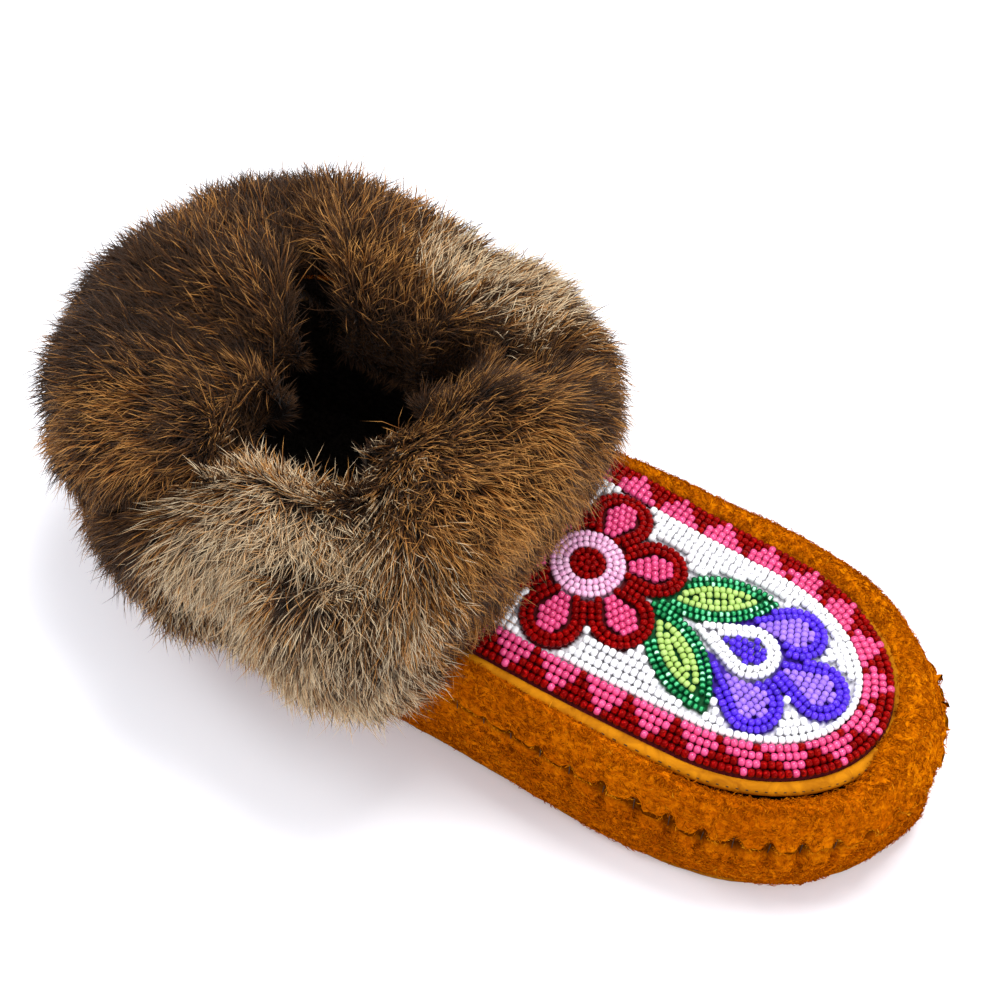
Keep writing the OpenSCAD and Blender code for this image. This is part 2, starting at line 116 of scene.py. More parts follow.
def even_params(n):
    """Parameters that lie evenly along the foot's outline, and the distance along it."""
    s = np.linspace(0, NN, 4001)
    p = ring(s % NN, 1.05, 0, 20)
    p[-1] = p[0]
    c = np.r_[0, np.cumsum(np.linalg.norm(np.diff(p, axis=0), axis=1))]
    d = np.arange(n) * c[-1] / n
    return np.interp(d, c, s), d, c[-1]


# ---------------------------------------------------------------- noise and mesh helpers
def hash01(i, j, k, seed):
    h = (i.astype(np.uint32) * np.uint32(0x9E3779B1)) ^ (j.astype(np.uint32) * np.uint32(0x85EBCA77))
    h ^= (k.astype(np.uint32) * np.uint32(0xC2B2AE3D)) ^ np.uint32((seed * 0x27D4EB2F) & 0xFFFFFFFF)
    h ^= h >> np.uint32(15)
    h *= np.uint32(0x2C1B3C6D)
    h ^= h >> np.uint32(12)
    h *= np.uint32(0x297A2D39)
    h ^= h >> np.uint32(15)
    return h / 4294967295.0


def noise(p, size, seed=0):
    """Smooth value noise in -1..1 at points p, with features of the given size in mm."""
    q = np.asarray(p, float) / size
    i = np.floor(q).astype(np.int64)
    f = q - i
    f = f * f * (3 - 2 * f)
    out = 0
    for a in (0, 1):
        for b in (0, 1):
            for c in (0, 1):
                w = f[..., 0] if a else 1 - f[..., 0]
                w = w * (f[..., 1] if b else 1 - f[..., 1])
                w = w * (f[..., 2] if c else 1 - f[..., 2])
                out = out + w * hash01(i[..., 0] + a, i[..., 1] + b, i[..., 2] + c, seed)
    return out * 2 - 1


def unit(v):
    return v / np.maximum(np.linalg.norm(v, axis=-1, keepdims=True), 1e-9)


def spline(keys, rows, closed=False):
    """Catmull-Rom rows through a list of key rows."""
    K = np.asarray(keys, float)
    k = len(K)
    t = np.linspace(0, k if closed else k - 1, rows, endpoint=not closed)
    i = np.floor(t).astype(int)
    if not closed:
        i = np.minimum(i, k - 2)
    f = (t - i).reshape((-1,) + (1,) * (K.ndim - 1))
    get = (lambda j: K[j % k]) if closed else (lambda j: K[np.clip(j, 0, k - 1)])
    a, b, c, d = get(i - 1), get(i), get(i + 1), get(i + 2)
    square = (2 * a - 5 * b + 4 * c - d) * f ** 2
    return 0.5 * (2 * b + (c - a) * f + square + (3 * b - a - 3 * c + d) * f ** 3)


def normals(P, wrap_m, wrap_n):
    """Unit normals of a grid of points."""
    du = np.roll(P, -1, 0) - np.roll(P, 1, 0)
    dv = np.roll(P, -1, 1) - np.roll(P, 1, 1)
    if not wrap_m:
        du[0], du[-1] = P[1] - P[0], P[-1] - P[-2]
    if not wrap_n:
        dv[:, 0], dv[:, -1] = P[:, 1] - P[:, 0], P[:, -1] - P[:, -2]
    return unit(np.cross(dv, du))


def grid_faces(m, n, wrap_m, wrap_n):
    a = np.arange(m * n).reshape(m, n)
    if wrap_m:
        a = np.vstack([a, a[:1]])
    if wrap_n:
        a = np.hstack([a, a[:, :1]])
    return np.stack([a[:-1, :-1], a[:-1, 1:], a[1:, 1:], a[1:, :-1]], -1).reshape(-1, 4)


def make(name, verts, faces, material, replaces=(), uv=None, colour=None):
    """One piece from millimetre vertices and same-sided faces. uv is per vertex."""
    me = bpy.data.meshes.new(name)
    v = np.ascontiguousarray(np.asarray(verts, np.float32).reshape(-1, 3) * 0.001)
    f = np.ascontiguousarray(np.asarray(faces, np.int32))
    k = f.shape[1]
    me.vertices.add(len(v))
    me.vertices.foreach_set("co", v.ravel())
    me.loops.add(f.size)
    me.loops.foreach_set("vertex_index", f.ravel())
    me.polygons.add(len(f))
    me.polygons.foreach_set("loop_start", np.arange(0, f.size, k, dtype=np.int32))
    if uv is not None:
        layer = me.uv_layers.new(name="OFBake")
        layer.data.foreach_set("uv", np.ascontiguousarray(np.asarray(uv, np.float32)[f.ravel()]).ravel())
    if colour is not None:
        c = me.attributes.new("tint", "FLOAT_COLOR", "POINT")
        c.data.foreach_set("color", np.c_[colour, np.ones(len(colour))].astype(np.float32).ravel())
    me.update(calc_edges=True)
    me.polygons.foreach_set("use_smooth", np.full(len(f), True))
    me.materials.append(material)
    ob = bpy.data.objects.new(name, me)
    bpy.context.scene.collection.objects.link(ob)
    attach(ob, "root")
    if replaces:
        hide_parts(*replaces)
    return ob


def sheet(name, grid, wrap_m, wrap_n, look, replaces=(), uv=None, colour=None):
    """One piece from a grid of points, closed along its rows, its columns or both."""
    faces = grid_faces(*grid.shape[:2], wrap_m, wrap_n)
    return make(name, grid.reshape(-1, 3), faces, MAT[look], replaces, uv, colour)


def needles(P, N, T, length, width, lift, lean, bend=0.5):
    """Short three-sided fibres at points P with normals N and lie T: returns vertices, faces, v."""
    n = len(P)
    side = np.cross(N, T)
    L = length[:, None]
    d0 = unit(N * np.sin(lift)[:, None] + T * np.cos(lift)[:, None] + side * lean[:, None])
    d1 = unit(d0 - N * bend)
    b = unit(np.cross(d0, N) + 1e-6)
    c = np.cross(d0, b)
    w = width[:, None]
    base = [P + w * b, P - w * 0.5 * b + w * 0.86 * c, P - w * 0.5 * b - w * 0.86 * c]
    mid = P + d0 * L * 0.55
    ring2 = [mid + w * 0.8 * b]
    ring2 += [mid + w * 0.8 * (-0.5 * b + 0.86 * c), mid + w * 0.8 * (-0.5 * b - 0.86 * c)]
    tip = mid + d1 * L * 0.45
    V = np.stack(base + ring2 + [tip], 1)
    o = (np.arange(n) * 7)[:, None]
    tris = []
    for a in range(3):
        e = (a + 1) % 3
        tris += [[a, e, 3 + e], [a, 3 + e, 3 + a], [3 + a, 3 + e, 6]]
    F = (o[:, :, None] + np.array(tris)[None]).reshape(-1, 3)
    vv = np.tile([0, 0, 0, 0.55, 0.55, 0.55, 1.0], n)
    return V.reshape(-1, 3), F, vv


def pick(P, rng, count, weight):
    """Random points on a quad grid P[m, n, 3]: grid row and column as floats, by weighted area."""
    du = np.linalg.norm(np.diff(P, axis=0), axis=2)[:, :-1]
    dv = np.linalg.norm(np.diff(P, axis=1), axis=2)[:-1]
    w = (du * dv * weight[:-1, :-1]).ravel()
    c = np.cumsum(w)
    k = np.searchsorted(c, rng.random(count) * c[-1])
    k = np.minimum(k, len(w) - 1)
    m, n = du.shape
    return k // n + rng.random(count), k % n + rng.random(count)


def at(G, r, c):
    """Bilinear value of grid G at float rows r and columns c."""
    i, j = np.floor(r).astype(int), np.floor(c).astype(int)
    i, j = np.minimum(i, G.shape[0] - 2), np.minimum(j, G.shape[1] - 2)
    a, b = (r - i), (c - j)
    if G.ndim == 3:
        a, b = a[:, None], b[:, None]
    here = (G[i, j] * (1 - a) + G[i + 1, j] * a) * (1 - b)
    return here + (G[i, j + 1] * (1 - a) + G[i + 1, j + 1] * a) * b


# ---------------------------------------------------------------- materials
def new_mat(name, rough=0.6, spec=0.5, base=None):
    m = bpy.data.materials.new(name)
    m.use_nodes = True
    b = m.node_tree.nodes["Principled BSDF"]
    b.inputs["Roughness"].default_value = rough
    b.inputs["Specular IOR Level"].default_value = spec
    if base:
        b.inputs["Base Color"].default_value = (*base, 1)
    return m, m.node_tree, b


def node(t, kind, **kw):
    n = t.nodes.new("ShaderNode" + kind)
    for k, v in kw.items():
        if k in n.inputs:
            n.inputs[k].default_value = v
        else:
            setattr(n, k, v)
    return n


def ramp(t, fac, stops):
    r = node(t, "ValToRGB")
    e = r.color_ramp.elements
    while len(e) < len(stops):
        e.new(0.5)
    for el, (p, c) in zip(e, stops):
        el.position = p
        el.color = (*c, 1) if len(c) == 3 else c
    t.links.new(fac, r.inputs["Fac"])
    return r.outputs["Color"]


def tex(t, size_mm, detail=4, rough=0.6, distortion=0.0):
    n = node(t, "TexNoise", Scale=1000 / size_mm, Detail=detail, Roughness=rough, Distortion=distortion)
    g = node(t, "NewGeometry")
    t.links.new(g.outputs["Position"], n.inputs["Vector"])
    return n.outputs["Fac"]


def mixc(t, fac, a, b, mode="MIX"):
    n = node(t, "Mix", data_type="RGBA", blend_type=mode)
    for sock, v in ((0, fac), (6, a), (7, b)):
        if isinstance(v, (int, float)):
            n.inputs[sock].default_value = v
        elif isinstance(v, tuple):
            n.inputs[sock].default_value = (*v, 1)
        else:
            t.links.new(v, n.inputs[sock])
    return n.outputs[2]


def bump(t, b, height, strength=0.4, dist=0.0005):
    n = node(t, "Bump", Strength=strength, Distance=dist)
    t.links.new(height, n.inputs["Height"])
    t.links.new(n.outputs["Normal"], b.inputs["Normal"])


def uv_xy(t):
    u = node(t, "UVMap", uv_map="OFBake")
    s = node(t, "SeparateXYZ")
    t.links.new(u.outputs["UV"], s.inputs[0])
    return s.outputs[0], s.outputs[1]


def math_node(t, op, a, b=0.0):
    n = node(t, "Math", operation=op)
    for k, v in ((0, a), (1, b)):
        if isinstance(v, (int, float)):
            n.inputs[k].default_value = v
        else:
            t.links.new(v, n.inputs[k])
    return n.outputs[0]


def suede_mat(name, dark, mid, light, fine=1.3, painted_shade=False):
    m, t, b = new_mat(name, 1.0, 0.0)
    n1 = tex(t, fine, 6, 0.75, 0.6)
    n2 = tex(t, 14, 3)
    f = math_node(t, "ADD", math_node(t, "MULTIPLY", n1, 0.8), math_node(t, "MULTIPLY", n2, 0.25))
    col = ramp(t, f, [(0.34, dark), (0.5, mid), (0.66, light)])
    # painted shade: the colour is multiplied by the tint attribute, which darkens the suede under the seam's
    # lip and makes the band's far side lighter and yellower
    if painted_shade:
        col = mixc(t, 1.0, col, node(t, "Attribute", attribute_name="tint").outputs["Color"], "MULTIPLY")
    t.links.new(col, b.inputs["Base Color"])
    bump(t, b, n1, 1.0, 0.0008)
    return m


def fibre_mat(name, stops, shade=0.55, rough=0.8):
    """Nap fibre: colour by the fibre's own value, with painted shade darkening it towards its root."""
    m, t, b = new_mat(name, rough, 0.0)
    u, v = uv_xy(t)
    col = ramp(t, u, stops)
    g = ramp(t, v, [(0.0, (shade,) * 3), (0.9, (1, 1, 1))])
    t.links.new(mixc(t, 1.0, col, g, "MULTIPLY"), b.inputs["Base Color"])
    return m


S_DARK, S_MID, S_LIGHT = (0.22, 0.034, 0.0002), (0.52, 0.105, 0.0006), (0.80, 0.22, 0.002)
MAT = {}
MAT["suede"] = suede_mat("suede", S_DARK, S_MID, S_LIGHT)
MAT["suede_shell"] = suede_mat("suede_shell", S_DARK, S_MID, S_LIGHT, painted_shade=True)
MAT["suede_sole"] = suede_mat("suede_sole", (0.12, 0.035, 0.002), (0.33, 0.11, 0.005), (0.5, 0.2, 0.012))
NAP_STOPS = [(0.0, (0.15, 0.022, 0.0002)), (0.35, (0.48, 0.10, 0.0006)),
             (0.75, (0.82, 0.22, 0.002)), (1.0, (1.0, 0.45, 0.02))]
MAT["nap"] = fibre_mat("suede_nap", NAP_STOPS)


def smooth_leather():
    m, t, b = new_mat("suede_smooth", 0.75, 0.06)
    n1, n2 = tex(t, 0.8, 5, 0.6), tex(t, 6, 3, 0.6, 1.0)
    colour = ramp(t, n2, [(0.3, (0.30, 0.09, 0.001)), (0.62, (0.56, 0.20, 0.003))])
    t.links.new(colour, b.inputs["Base Color"])
    bump(t, b, math_node(t, "ADD", n1, math_node(t, "MULTIPLY", n2, 2.0)), 0.5, 0.0003)
    return m


MAT["suede_smooth"] = smooth_leather()


def simple(name, a, b_, size, rough, detail=4, strength=0.3, dist=0.0003, spec=0.3):
    m, t, b = new_mat(name, rough, spec)
    n = tex(t, size, detail, 0.65)
    t.links.new(ramp(t, n, [(0.35, a), (0.65, b_)]), b.inputs["Base Color"])
    bump(t, b, n, strength, dist)
    return m


MAT["fleece"] = simple("fleece", (0.012, 0.009, 0.007), (0.04, 0.03, 0.022), 1.6, 0.98, 6, 1.0, 0.0012, 0.1)
MAT["lining"] = simple("lining", (0.008, 0.006, 0.005), (0.03, 0.02, 0.014), 1.2, 0.98, 5, 0.8, 0.0008, 0.1)
MAT["board"] = simple("board", (0.42, 0.33, 0.2), (0.55, 0.45, 0.3), 2.5, 0.9)
MAT["thread_dark"] = simple("thread_dark", (0.02, 0.009, 0.002), (0.07, 0.03, 0.006), 0.4, 0.7)


def canvas():
    m, t, b = new_mat("canvas", 0.9, 0.2)
    c = node(t, "Attribute", attribute_name="tint")
    w = node(t, "TexWave", Scale=1000 / 0.7 / 6.28, Distortion=0.6)
    g = node(t, "NewGeometry")
    t.links.new(g.outputs["Position"], w.inputs["Vector"])
    shade = ramp(t, w.outputs["Fac"], [(0.2, (0.72, 0.72, 0.72)), (0.8, (1, 1, 1))])
    t.links.new(mixc(t, 1.0, c.outputs["Color"], shade, "MULTIPLY"), b.inputs["Base Color"])
    bump(t, b, w.outputs["Fac"], 0.5, 0.0002)
    return m


MAT["canvas"] = canvas()


def bead_mat(name, lo, hi, rough, coat, rim=None, film=0.0, painted_lining_highlight=None, spec=0.5, painted_glints=None,
             glint=(1, 1, 1)):
    """Glass seed bead: per-bead tint, a painted brighter rim for light that comes through, glossy skin."""
    m, t, b = new_mat(name, rough, spec)
    u, v = uv_xy(t)
    col = ramp(t, u, [(0.0, lo), (1.0, hi)])
    # painted light: a brighter rim towards the bead's edges, for light coming through the glass
    if rim:
        lw = node(t, "LayerWeight", Blend=0.35)
        col = mixc(t, math_node(t, "POWER", lw.outputs["Facing"], 2.2), col, rim)
    if painted_glints:                                    # painted glints: light caught inside clear glass, painted as lighter spots
        spots = ramp(t, tex(t, 0.75, 2, 0.5), [(0.5, (0, 0, 0)), (0.68, (1, 1, 1))])
        col = mixc(t, spots, col, painted_glints)
    if painted_lining_highlight:                                    # painted highlight of the silver lining seen through the middle of the bead where it faces the view, glowing faintly
        facing = node(t, "LayerWeight", Blend=0.5).outputs["Facing"]
        face = math_node(t, "LESS_THAN", facing, 0.24)
        mid = ramp(t, v, [(0.28, (0, 0, 0)), (0.36, (1, 1, 1)), (0.62, (1, 1, 1)), (0.7, (0, 0, 0))])
        k = math_node(t, "MULTIPLY", mid, face)
        glow = ramp(t, u, painted_lining_highlight)
        col = mixc(t, k, col, glow)
        t.links.new(mixc(t, k, (0, 0, 0), glow), b.inputs["Emission Color"])
        b.inputs["Emission Strength"].default_value = 0.12
    t.links.new(col, b.inputs["Base Color"])
    b.inputs["Specular Tint"].default_value = (*glint, 1)
    b.inputs["Coat Weight"].default_value = coat
    b.inputs["Coat Roughness"].default_value = 0.06
    if film:
        b.inputs["Thin Film Thickness"].default_value = film
        b.inputs["Thin Film IOR"].default_value = 1.6
    bump(t, b, tex(t, 0.9, 2), 0.06, 0.0002)
    return m


# colours of the painted highlight and glow of the green beads' silver lining
LINING_HIGHLIGHT_COLOURS = [(0.0, (0.003, 0.14, 0.035)), (0.45, (0.03, 0.4, 0.13)), (0.8, (0.16, 0.75, 0.36)),
         (1.0, (0.7, 1.0, 0.8))]
BEAD_LOOKS = {   # darkest and lightest glass, roughness, coat, and what else is special
    "bead_red": ((0.10, 0.0, 0.0003), (0.20, 0.0002, 0.0006), 0.2, 0.0,
                 dict(rim=(0.25, 0.0003, 0.0006), spec=0.4, painted_glints=(0.42, 0.002, 0.002),
                      glint=(1, 0.08, 0.06))),
    "bead_pink": ((0.62, 0.035, 0.15), (0.8, 0.07, 0.24), 0.16, 0.0,
                  dict(rim=(0.8, 0.12, 0.3), spec=0.9, glint=(1, 0.75, 0.85))),
    "bead_ring": ((0.80, 0.36, 0.6), (0.92, 0.55, 0.76), 0.14, 0.3, dict(rim=(0.95, 0.7, 0.85), film=480)),
    "bead_white": ((0.86, 0.85, 0.87), (0.96, 0.96, 0.97), 0.18, 0.2, {}),
    "bead_green": ((0.0, 0.06, 0.018), (0.002, 0.15, 0.045), 0.12, 0.0,
                   dict(rim=(0.003, 0.16, 0.05), spec=0.4, glint=(0.4, 1, 0.6), painted_lining_highlight=LINING_HIGHLIGHT_COLOURS)),
    "bead_lime": ((0.37, 0.55, 0.115), (0.48, 0.68, 0.19), 0.35, 0.0, dict(spec=0.35)),
    "bead_violet": ((0.05, 0.011, 0.48), (0.10, 0.024, 0.78), 0.2, 0.0,
                    dict(rim=(0.11, 0.04, 0.78), spec=0.6, glint=(0.7, 0.6, 1))),
    "bead_lavender": ((0.26, 0.125, 0.66), (0.4, 0.22, 0.86), 0.2, 0.0,
                      dict(rim=(0.4, 0.25, 0.85), spec=0.5, glint=(0.8, 0.7, 1))),
}
for look, (lo, hi, rough, coat, special) in BEAD_LOOKS.items():
    MAT[look] = bead_mat(look, lo, hi, rough, coat, **special)


def fur_mat():
    """Agouti hair: dark root, brown shaft, golden band and dark tip; paler where the value is high."""
    m, t, b = new_mat("fur", 0.6, 0.07)
    u, v = uv_xy(t)
    dark = ramp(t, v, [(0.0, (0.008, 0.004, 0.002)), (0.35, (0.03, 0.013, 0.005)),
                       (0.62, (0.052, 0.019, 0.006)), (0.84, (0.10, 0.04, 0.013)),
                       (1.0, (0.016, 0.008, 0.004))])
    gold = ramp(t, v, [(0.0, (0.012, 0.005, 0.002)), (0.3, (0.07, 0.026, 0.006)), (0.55, (0.29, 0.10, 0.015)),
                       (0.82, (0.66, 0.32, 0.085)), (1.0, (0.2, 0.085, 0.025))])
    pale = ramp(t, v, [(0.0, (0.08, 0.06, 0.045)), (0.35, (0.24, 0.18, 0.12)), (0.7, (0.60, 0.455, 0.275)),
                       (0.9, (0.90, 0.74, 0.50)), (1.0, (0.26, 0.18, 0.1))])
    a = mixc(t, ramp(t, u, [(0.1, (0, 0, 0)), (0.45, (1, 1, 1))]), dark, gold)
    c = mixc(t, ramp(t, u, [(0.55, (0, 0, 0)), (0.85, (1, 1, 1))]), a, pale)
    # painted shade: hairs whose value is below 0.14 fade to the darkest colours
    lit = ramp(t, u, [(0.0, (0, 0, 0)), (0.14, (1, 1, 1))])
    darkest = ramp(t, v, [(0.0, (0.005, 0.003, 0.002)), (0.5, (0.022, 0.010, 0.004)),
                          (0.84, (0.06, 0.026, 0.009)), (1.0, (0.01, 0.006, 0.004))])
    c = mixc(t, lit, darkest, c)
    t.links.new(c, b.inputs["Base Color"])
    b.inputs["Sheen Weight"].default_value = 0.05
    return m


MAT["fur"] = fur_mat()


def pelt_mat():
    m, t, b = new_mat("pelt", 0.95, 0.05)
    u, v = uv_xy(t)
    n = tex(t, 2.2, 5, 0.7, 0.8)
    brown = ramp(t, n, [(0.35, (0.012, 0.006, 0.004)), (0.65, (0.10, 0.048, 0.015))])
    pale = ramp(t, n, [(0.35, (0.09, 0.075, 0.06)), (0.65, (0.26, 0.21, 0.15))])
    t.links.new(mixc(t, u, brown, pale), b.inputs["Base Color"])
    bump(t, b, n, 1.0, 0.0015)
    return m


MAT["pelt"] = pelt_mat()

# ---------------------------------------------------------------- suede shell
COLS = 760
S_EVEN, ARC, ARC_LEN = even_params(COLS)


def band(f, t, u, dz):
    """Ring at f from the vamp's edge (0) to the outline (1), set in by t, at u up the side plus dz."""
    return ring(S_EVEN, f, t, dz, u=u)


def rnd(f, t, z):
    """The same kind of ring at height z."""
    return ring(S_EVEN, f, t, z)


def arc_noise(size, seed):
    """Noise along the shoe's outline."""
    return noise(np.c_[ARC, 0 * ARC, 0 * ARC], size, seed)


GATHERS = 64
stitch_phase = 2 * np.pi * ARC / ARC_LEN * GATHERS + 1.2 * arc_noise(17, 4)
pinch = (0.5 + 0.5 * np.cos(stitch_phase)) ** 3          # one at each stitch of the side seam
toe_x = S_EVEN * 0 + ring(S_EVEN, 1, 0, 0)[:, 0]
toeness = 0.35 + 0.65 * sm((toe_x - 5) / 50)
gather = pinch * toeness                         # deepest round the toe
wave = 0.8 * arc_noise(6, 5) + 0.5 * arc_noise(2.2, 6)


def shift(P, dz=0.0, out=0.0):
    """Moves a ring up by dz and out from the shoe by out, both per column."""
    q = P.copy()
    d = np.roll(P, -1, 0) - np.roll(P, 1, 0)
    n = unit(np.stack([d[:, 1], -d[:, 0], 0 * d[:, 0]], -1))
    q[:, 2] += dz
    return q + n * np.reshape(out, (-1, 1)) * np.ones((len(P), 1))


far = np.clip(sm((ring(S_EVEN, 0.3, 0, 0)[:, 1] + 16) / 16), 0, 1) * sm((toe_x + 60) / 40)


def roll(f, t, u, dz, df, dup):
    """A ring of the roll that leans in over the piping on the far side."""
    a, b_ = band(f, t, u, dz), band(f - df, t, u, dz + dup)
    return a + (b_ - a) * far[:, None]


def lean(G, amount):
    """Moves a grid's points out from the shoe by amount."""
    d = np.roll(G, -1, 1) - np.roll(G, 1, 1)
    return G + unit(np.stack([d[..., 1], -d[..., 0], 0 * d[..., 0]], -1)) * amount[..., None]


lip = -0.6 + 1.2 * wave + 1.7 * gather
band_keys = [
    shift(band(1.17, 0, 0, 0), lip, -1.6 * gather),
    shift(band(1.16, 0, 0, 1.4), lip * 0.6, -1.2 * gather),
    shift(band(1.08, 0, 0.3, 0), 0, -0.3 * gather),
    band(1.0, 0, 0.62, 0), band(0.91, 0, 0.88, 0),
    roll(0.8, 0, 1, ROLL * 0.4, 0.02, 0.3), roll(0.66, 0, 1, ROLL, 0.08, 0.7),
    roll(0.5, 0, 1, ROLL * 0.7, 0.16, 0.9), roll(0.36, 0, 1, -0.2, 0.2, 0.9),
    roll(0.3, 0, 1, -1.7, 0.14, 1.1), roll(0.35, 0, 1, -2.6, 0.04, 0.8),
    band(0.5, 0, 1, ROLL * 0.7 - SUEDE_T - 0.3), band(0.66, 0.4, 1, ROLL - SUEDE_T - 0.3),
    band(0.78, 1.4, 1, -2), band(0.9, 2, 0.8, -1.8), band(1, SUEDE_T, 0.5, 0),
    band(1.045, SUEDE_T, 0.2, 0.6), shift(band(1.12, 0.3, 0, 0.5), lip * 0.7, -1.1 * gather)]
BAND_ROWS, WRAP_ROWS = 104, 84
B = spline(band_keys, BAND_ROWS, True)
key_of = np.linspace(0, len(band_keys), BAND_ROWS, endpoint=False)
round_key = np.minimum(key_of, len(band_keys) - key_of)
Nb = normals(B, True, True)
lump = 0.7 * noise(B, 22, 1) + 0.32 * noise(B, 9, 2) + 0.14 * noise(B, 3, 3) + 0.07 * noise(B, 1.3, 7)
near_seam = gauss(round_key, 1.6)[:, None]
outer = (key_of < 9.5)[:, None]
puckers = gauss(key_of, 2.6)[:, None] * np.sin(stitch_phase + 1.0)[None, :] * toeness[None, :]
dents = np.where(outer, -0.55 * near_seam * gather[None, :], 0) + 0.25 * np.where(outer, puckers, 0)
B = B + Nb * (lump * np.where(outer, 1.0, 0.3) + dents)[..., None]
B = lean(B, -1.2 * far[None] * np.ones((BAND_ROWS, 1)))
# Painted shade: the band is darkened under the lip's fold and along the lip's edge. On the far side it is
# made lighter and yellower.
under = gauss(np.maximum(0, round_key - 1.0), 1.0)
band_painted_shade = 1 - 0.8 * np.where(key_of > 9, under, gauss(key_of, 0.35) * 0.65)
tint_b = (band_painted_shade[:, None, None] * (1 + far[None, :, None] * [0.12, 0.3, 0.1])).reshape(-1, 3)
sheet("suede_band", B, True, True, "suede_shell", ["side_band"], colour=tint_b)

wrap_keys = [
    rnd(0.81, 0, 1.7), rnd(0.905, 0, 2.1), rnd(0.972, 0, 4.4), rnd(1.03, 0, 8.8),
    band(1.085, 0, 0, -10), band(1.12, 0, 0, -5.6),
    shift(band(1.03, 0, 0, -3.0), 0, -1.5 * gather),
    shift(band(0.88, 0, 0, -1.8), 0, -gather), shift(band(0.86, 1.0, 0, 0), 0, -0.4),
    band(0.99, SUEDE_T, 0, 0.2), band(1.03, SUEDE_T, 0, -4.5), band(1.02, SUEDE_T, 0, -9.5),
    rnd(1.0, SUEDE_T, 9.5), rnd(0.97, SUEDE_T, 5), rnd(0.9, SUEDE_T, FLOOR_Z)]
W = spline(wrap_keys, WRAP_ROWS)
key_w = np.linspace(0, len(wrap_keys) - 1, WRAP_ROWS)
Nw = normals(W, False, True)
wrap_lump = 0.9 * noise(W, 17, 21) + 0.55 * noise(W, 8, 22)
wrap_lump = wrap_lump + 0.15 * noise(W, 3, 23) + 0.07 * noise(W, 1.3, 24)
wrap_outer = (key_w < 8)[:, None]
at_seam = gauss(key_w - 4.9, 0.8)[:, None]
below = gauss(key_w - 3.9, 1.5)[:, None]
wrap_dents = np.where(wrap_outer, at_seam * (0.6 - 1.9 * pinch)[None, :] * toeness[None, :], 0)
sags = ((0.9 * arc_noise(9, 31) - 0.4 * pinch) * toeness)[None, :]
wrap_dents = wrap_dents + np.where(wrap_outer, below * sags, 0)
edge_fade = sm(key_w / 1.0)[:, None]
W = W + Nw * ((wrap_lump * np.where(wrap_outer, 1.0, 0.2) + wrap_dents) * edge_fade)[..., None]
W[..., 2] = np.maximum(W[..., 2], 0.3)
W = lean(W, -1.2 * far[None] * sm((W[..., 2] - 6) / 12))
# Painted shade: the wrap is darkened where it runs into the groove under the seam's lip and tucks in.
wrap_painted_shade = 1 - 0.68 * sm((key_w[:, None] - 5.6 + 0.7 * gather[None]) / 0.9) * (key_w[:, None] < 9)
tint_w = wrap_painted_shade.ravel()[:, None] * np.ones(3)
sheet("suede_wrap", W, False, True, "suede_shell", ["sole_wrap"], colour=tint_w)


def nap(name, G, Nrm, rows, count, seed, weight=None):
    """Nap fibres over rows of a suede grid."""
    r = np.random.default_rng(seed)
    a, b_ = rows
    Gs = np.concatenate([G, G[:, :1]], 1)[a:b_]
    Ns = np.concatenate([Nrm, Nrm[:, :1]], 1)[a:b_]
    weight = np.ones(G.shape[:2]) if weight is None else weight
    wt = np.concatenate([weight, weight[:, :1]], 1)[a:b_]
    i, j = pick(Gs, r, count, wt)
    P, N = at(Gs, i, j), unit(at(Ns, i, j))
    ang = 2.5 * np.pi * noise(P, 3.2, seed) + r.normal(0, 0.7, count)
    ref = unit(np.cross(N, np.array([0.3, 0.2, 1.0])))
    T = unit(ref * np.cos(ang)[:, None] + np.cross(N, ref) * np.sin(ang)[:, None])
    L = r.uniform(0.9, 2.1, count) * (1 + 0.5 * (r.random(count) < 0.05))
    V, F, vv = needles(P - N * 0.15, N, T, L, r.uniform(0.07, 0.14, count),
                       np.radians(r.uniform(8, 42, count)), r.normal(0, 0.3, count), 0.6)
    tuft = 0.5 + 0.5 * noise(P, 1.7, seed + 1)
    col = 0.10 + 0.55 * tuft * r.random(count) + 0.45 * r.random(count) ** 2.2
    col = np.clip(col + 0.12 * noise(P, 9, seed + 2), 0, 1)
    make(name, V, F, MAT["nap"], uv=np.c_[np.repeat(col, 7), vv])


edge_clear = sm((key_of[:, None] - 0.2) / 1.2) + 0 * B[..., 0]
nap("suede_nap_band_1", B, Nb, (0, 34), 21000, 51, edge_clear)
nap("suede_nap_band_2", B, Nb, (28, 60), 21000, 52)
clear = 1 - sm((key_w[:, None] - 4.9) / 0.5) + 0 * W[..., 0]
nap("suede_nap_wrap_1", W, Nw, (8, 44), 21000, 53, clear)
nap("suede_nap_wrap_2", W, Nw, (8, 44), 15000, 54, clear)

# frayed pale fibres along the seam's edge
fr = np.random.default_rng(71)
fibres = 5200
column = fr.random(fibres) * COLS
lip_rows = np.stack([np.vstack([B[k], B[k][:1]]) for k in (0, 1, 2)])
P = at(lip_rows, fr.random(fibres) * 1.2, column)
N = unit(at(np.stack([np.vstack([Nb[k], Nb[k][:1]]) for k in (0, 1, 2)]), np.zeros(fibres), column))
keep = fr.random(fibres) < 0.35 + 0.65 * (noise(P, 9, 9) > -0.15)
P, N = P[keep], N[keep]
fibres = len(P)
T = unit(np.c_[fr.normal(0, 0.5, fibres), fr.normal(0, 0.5, fibres), -0.8 + fr.normal(0, 0.5, fibres)])
T = unit(T - N * np.sum(T * N, 1, keepdims=True))
V, F, vv = needles(P, N, T, fr.uniform(0.6, 1.6, fibres), fr.uniform(0.07, 0.12, fibres),
                   np.radians(fr.uniform(5, 45, fibres)), fr.normal(0, 0.3, fibres), 0.4)
fray = np.clip(0.55 + 0.45 * fr.random(fibres), 0, 1)
make("suede_frayed_edge", V, F, MAT["nap"], uv=np.c_[np.repeat(fray, 7), vv])


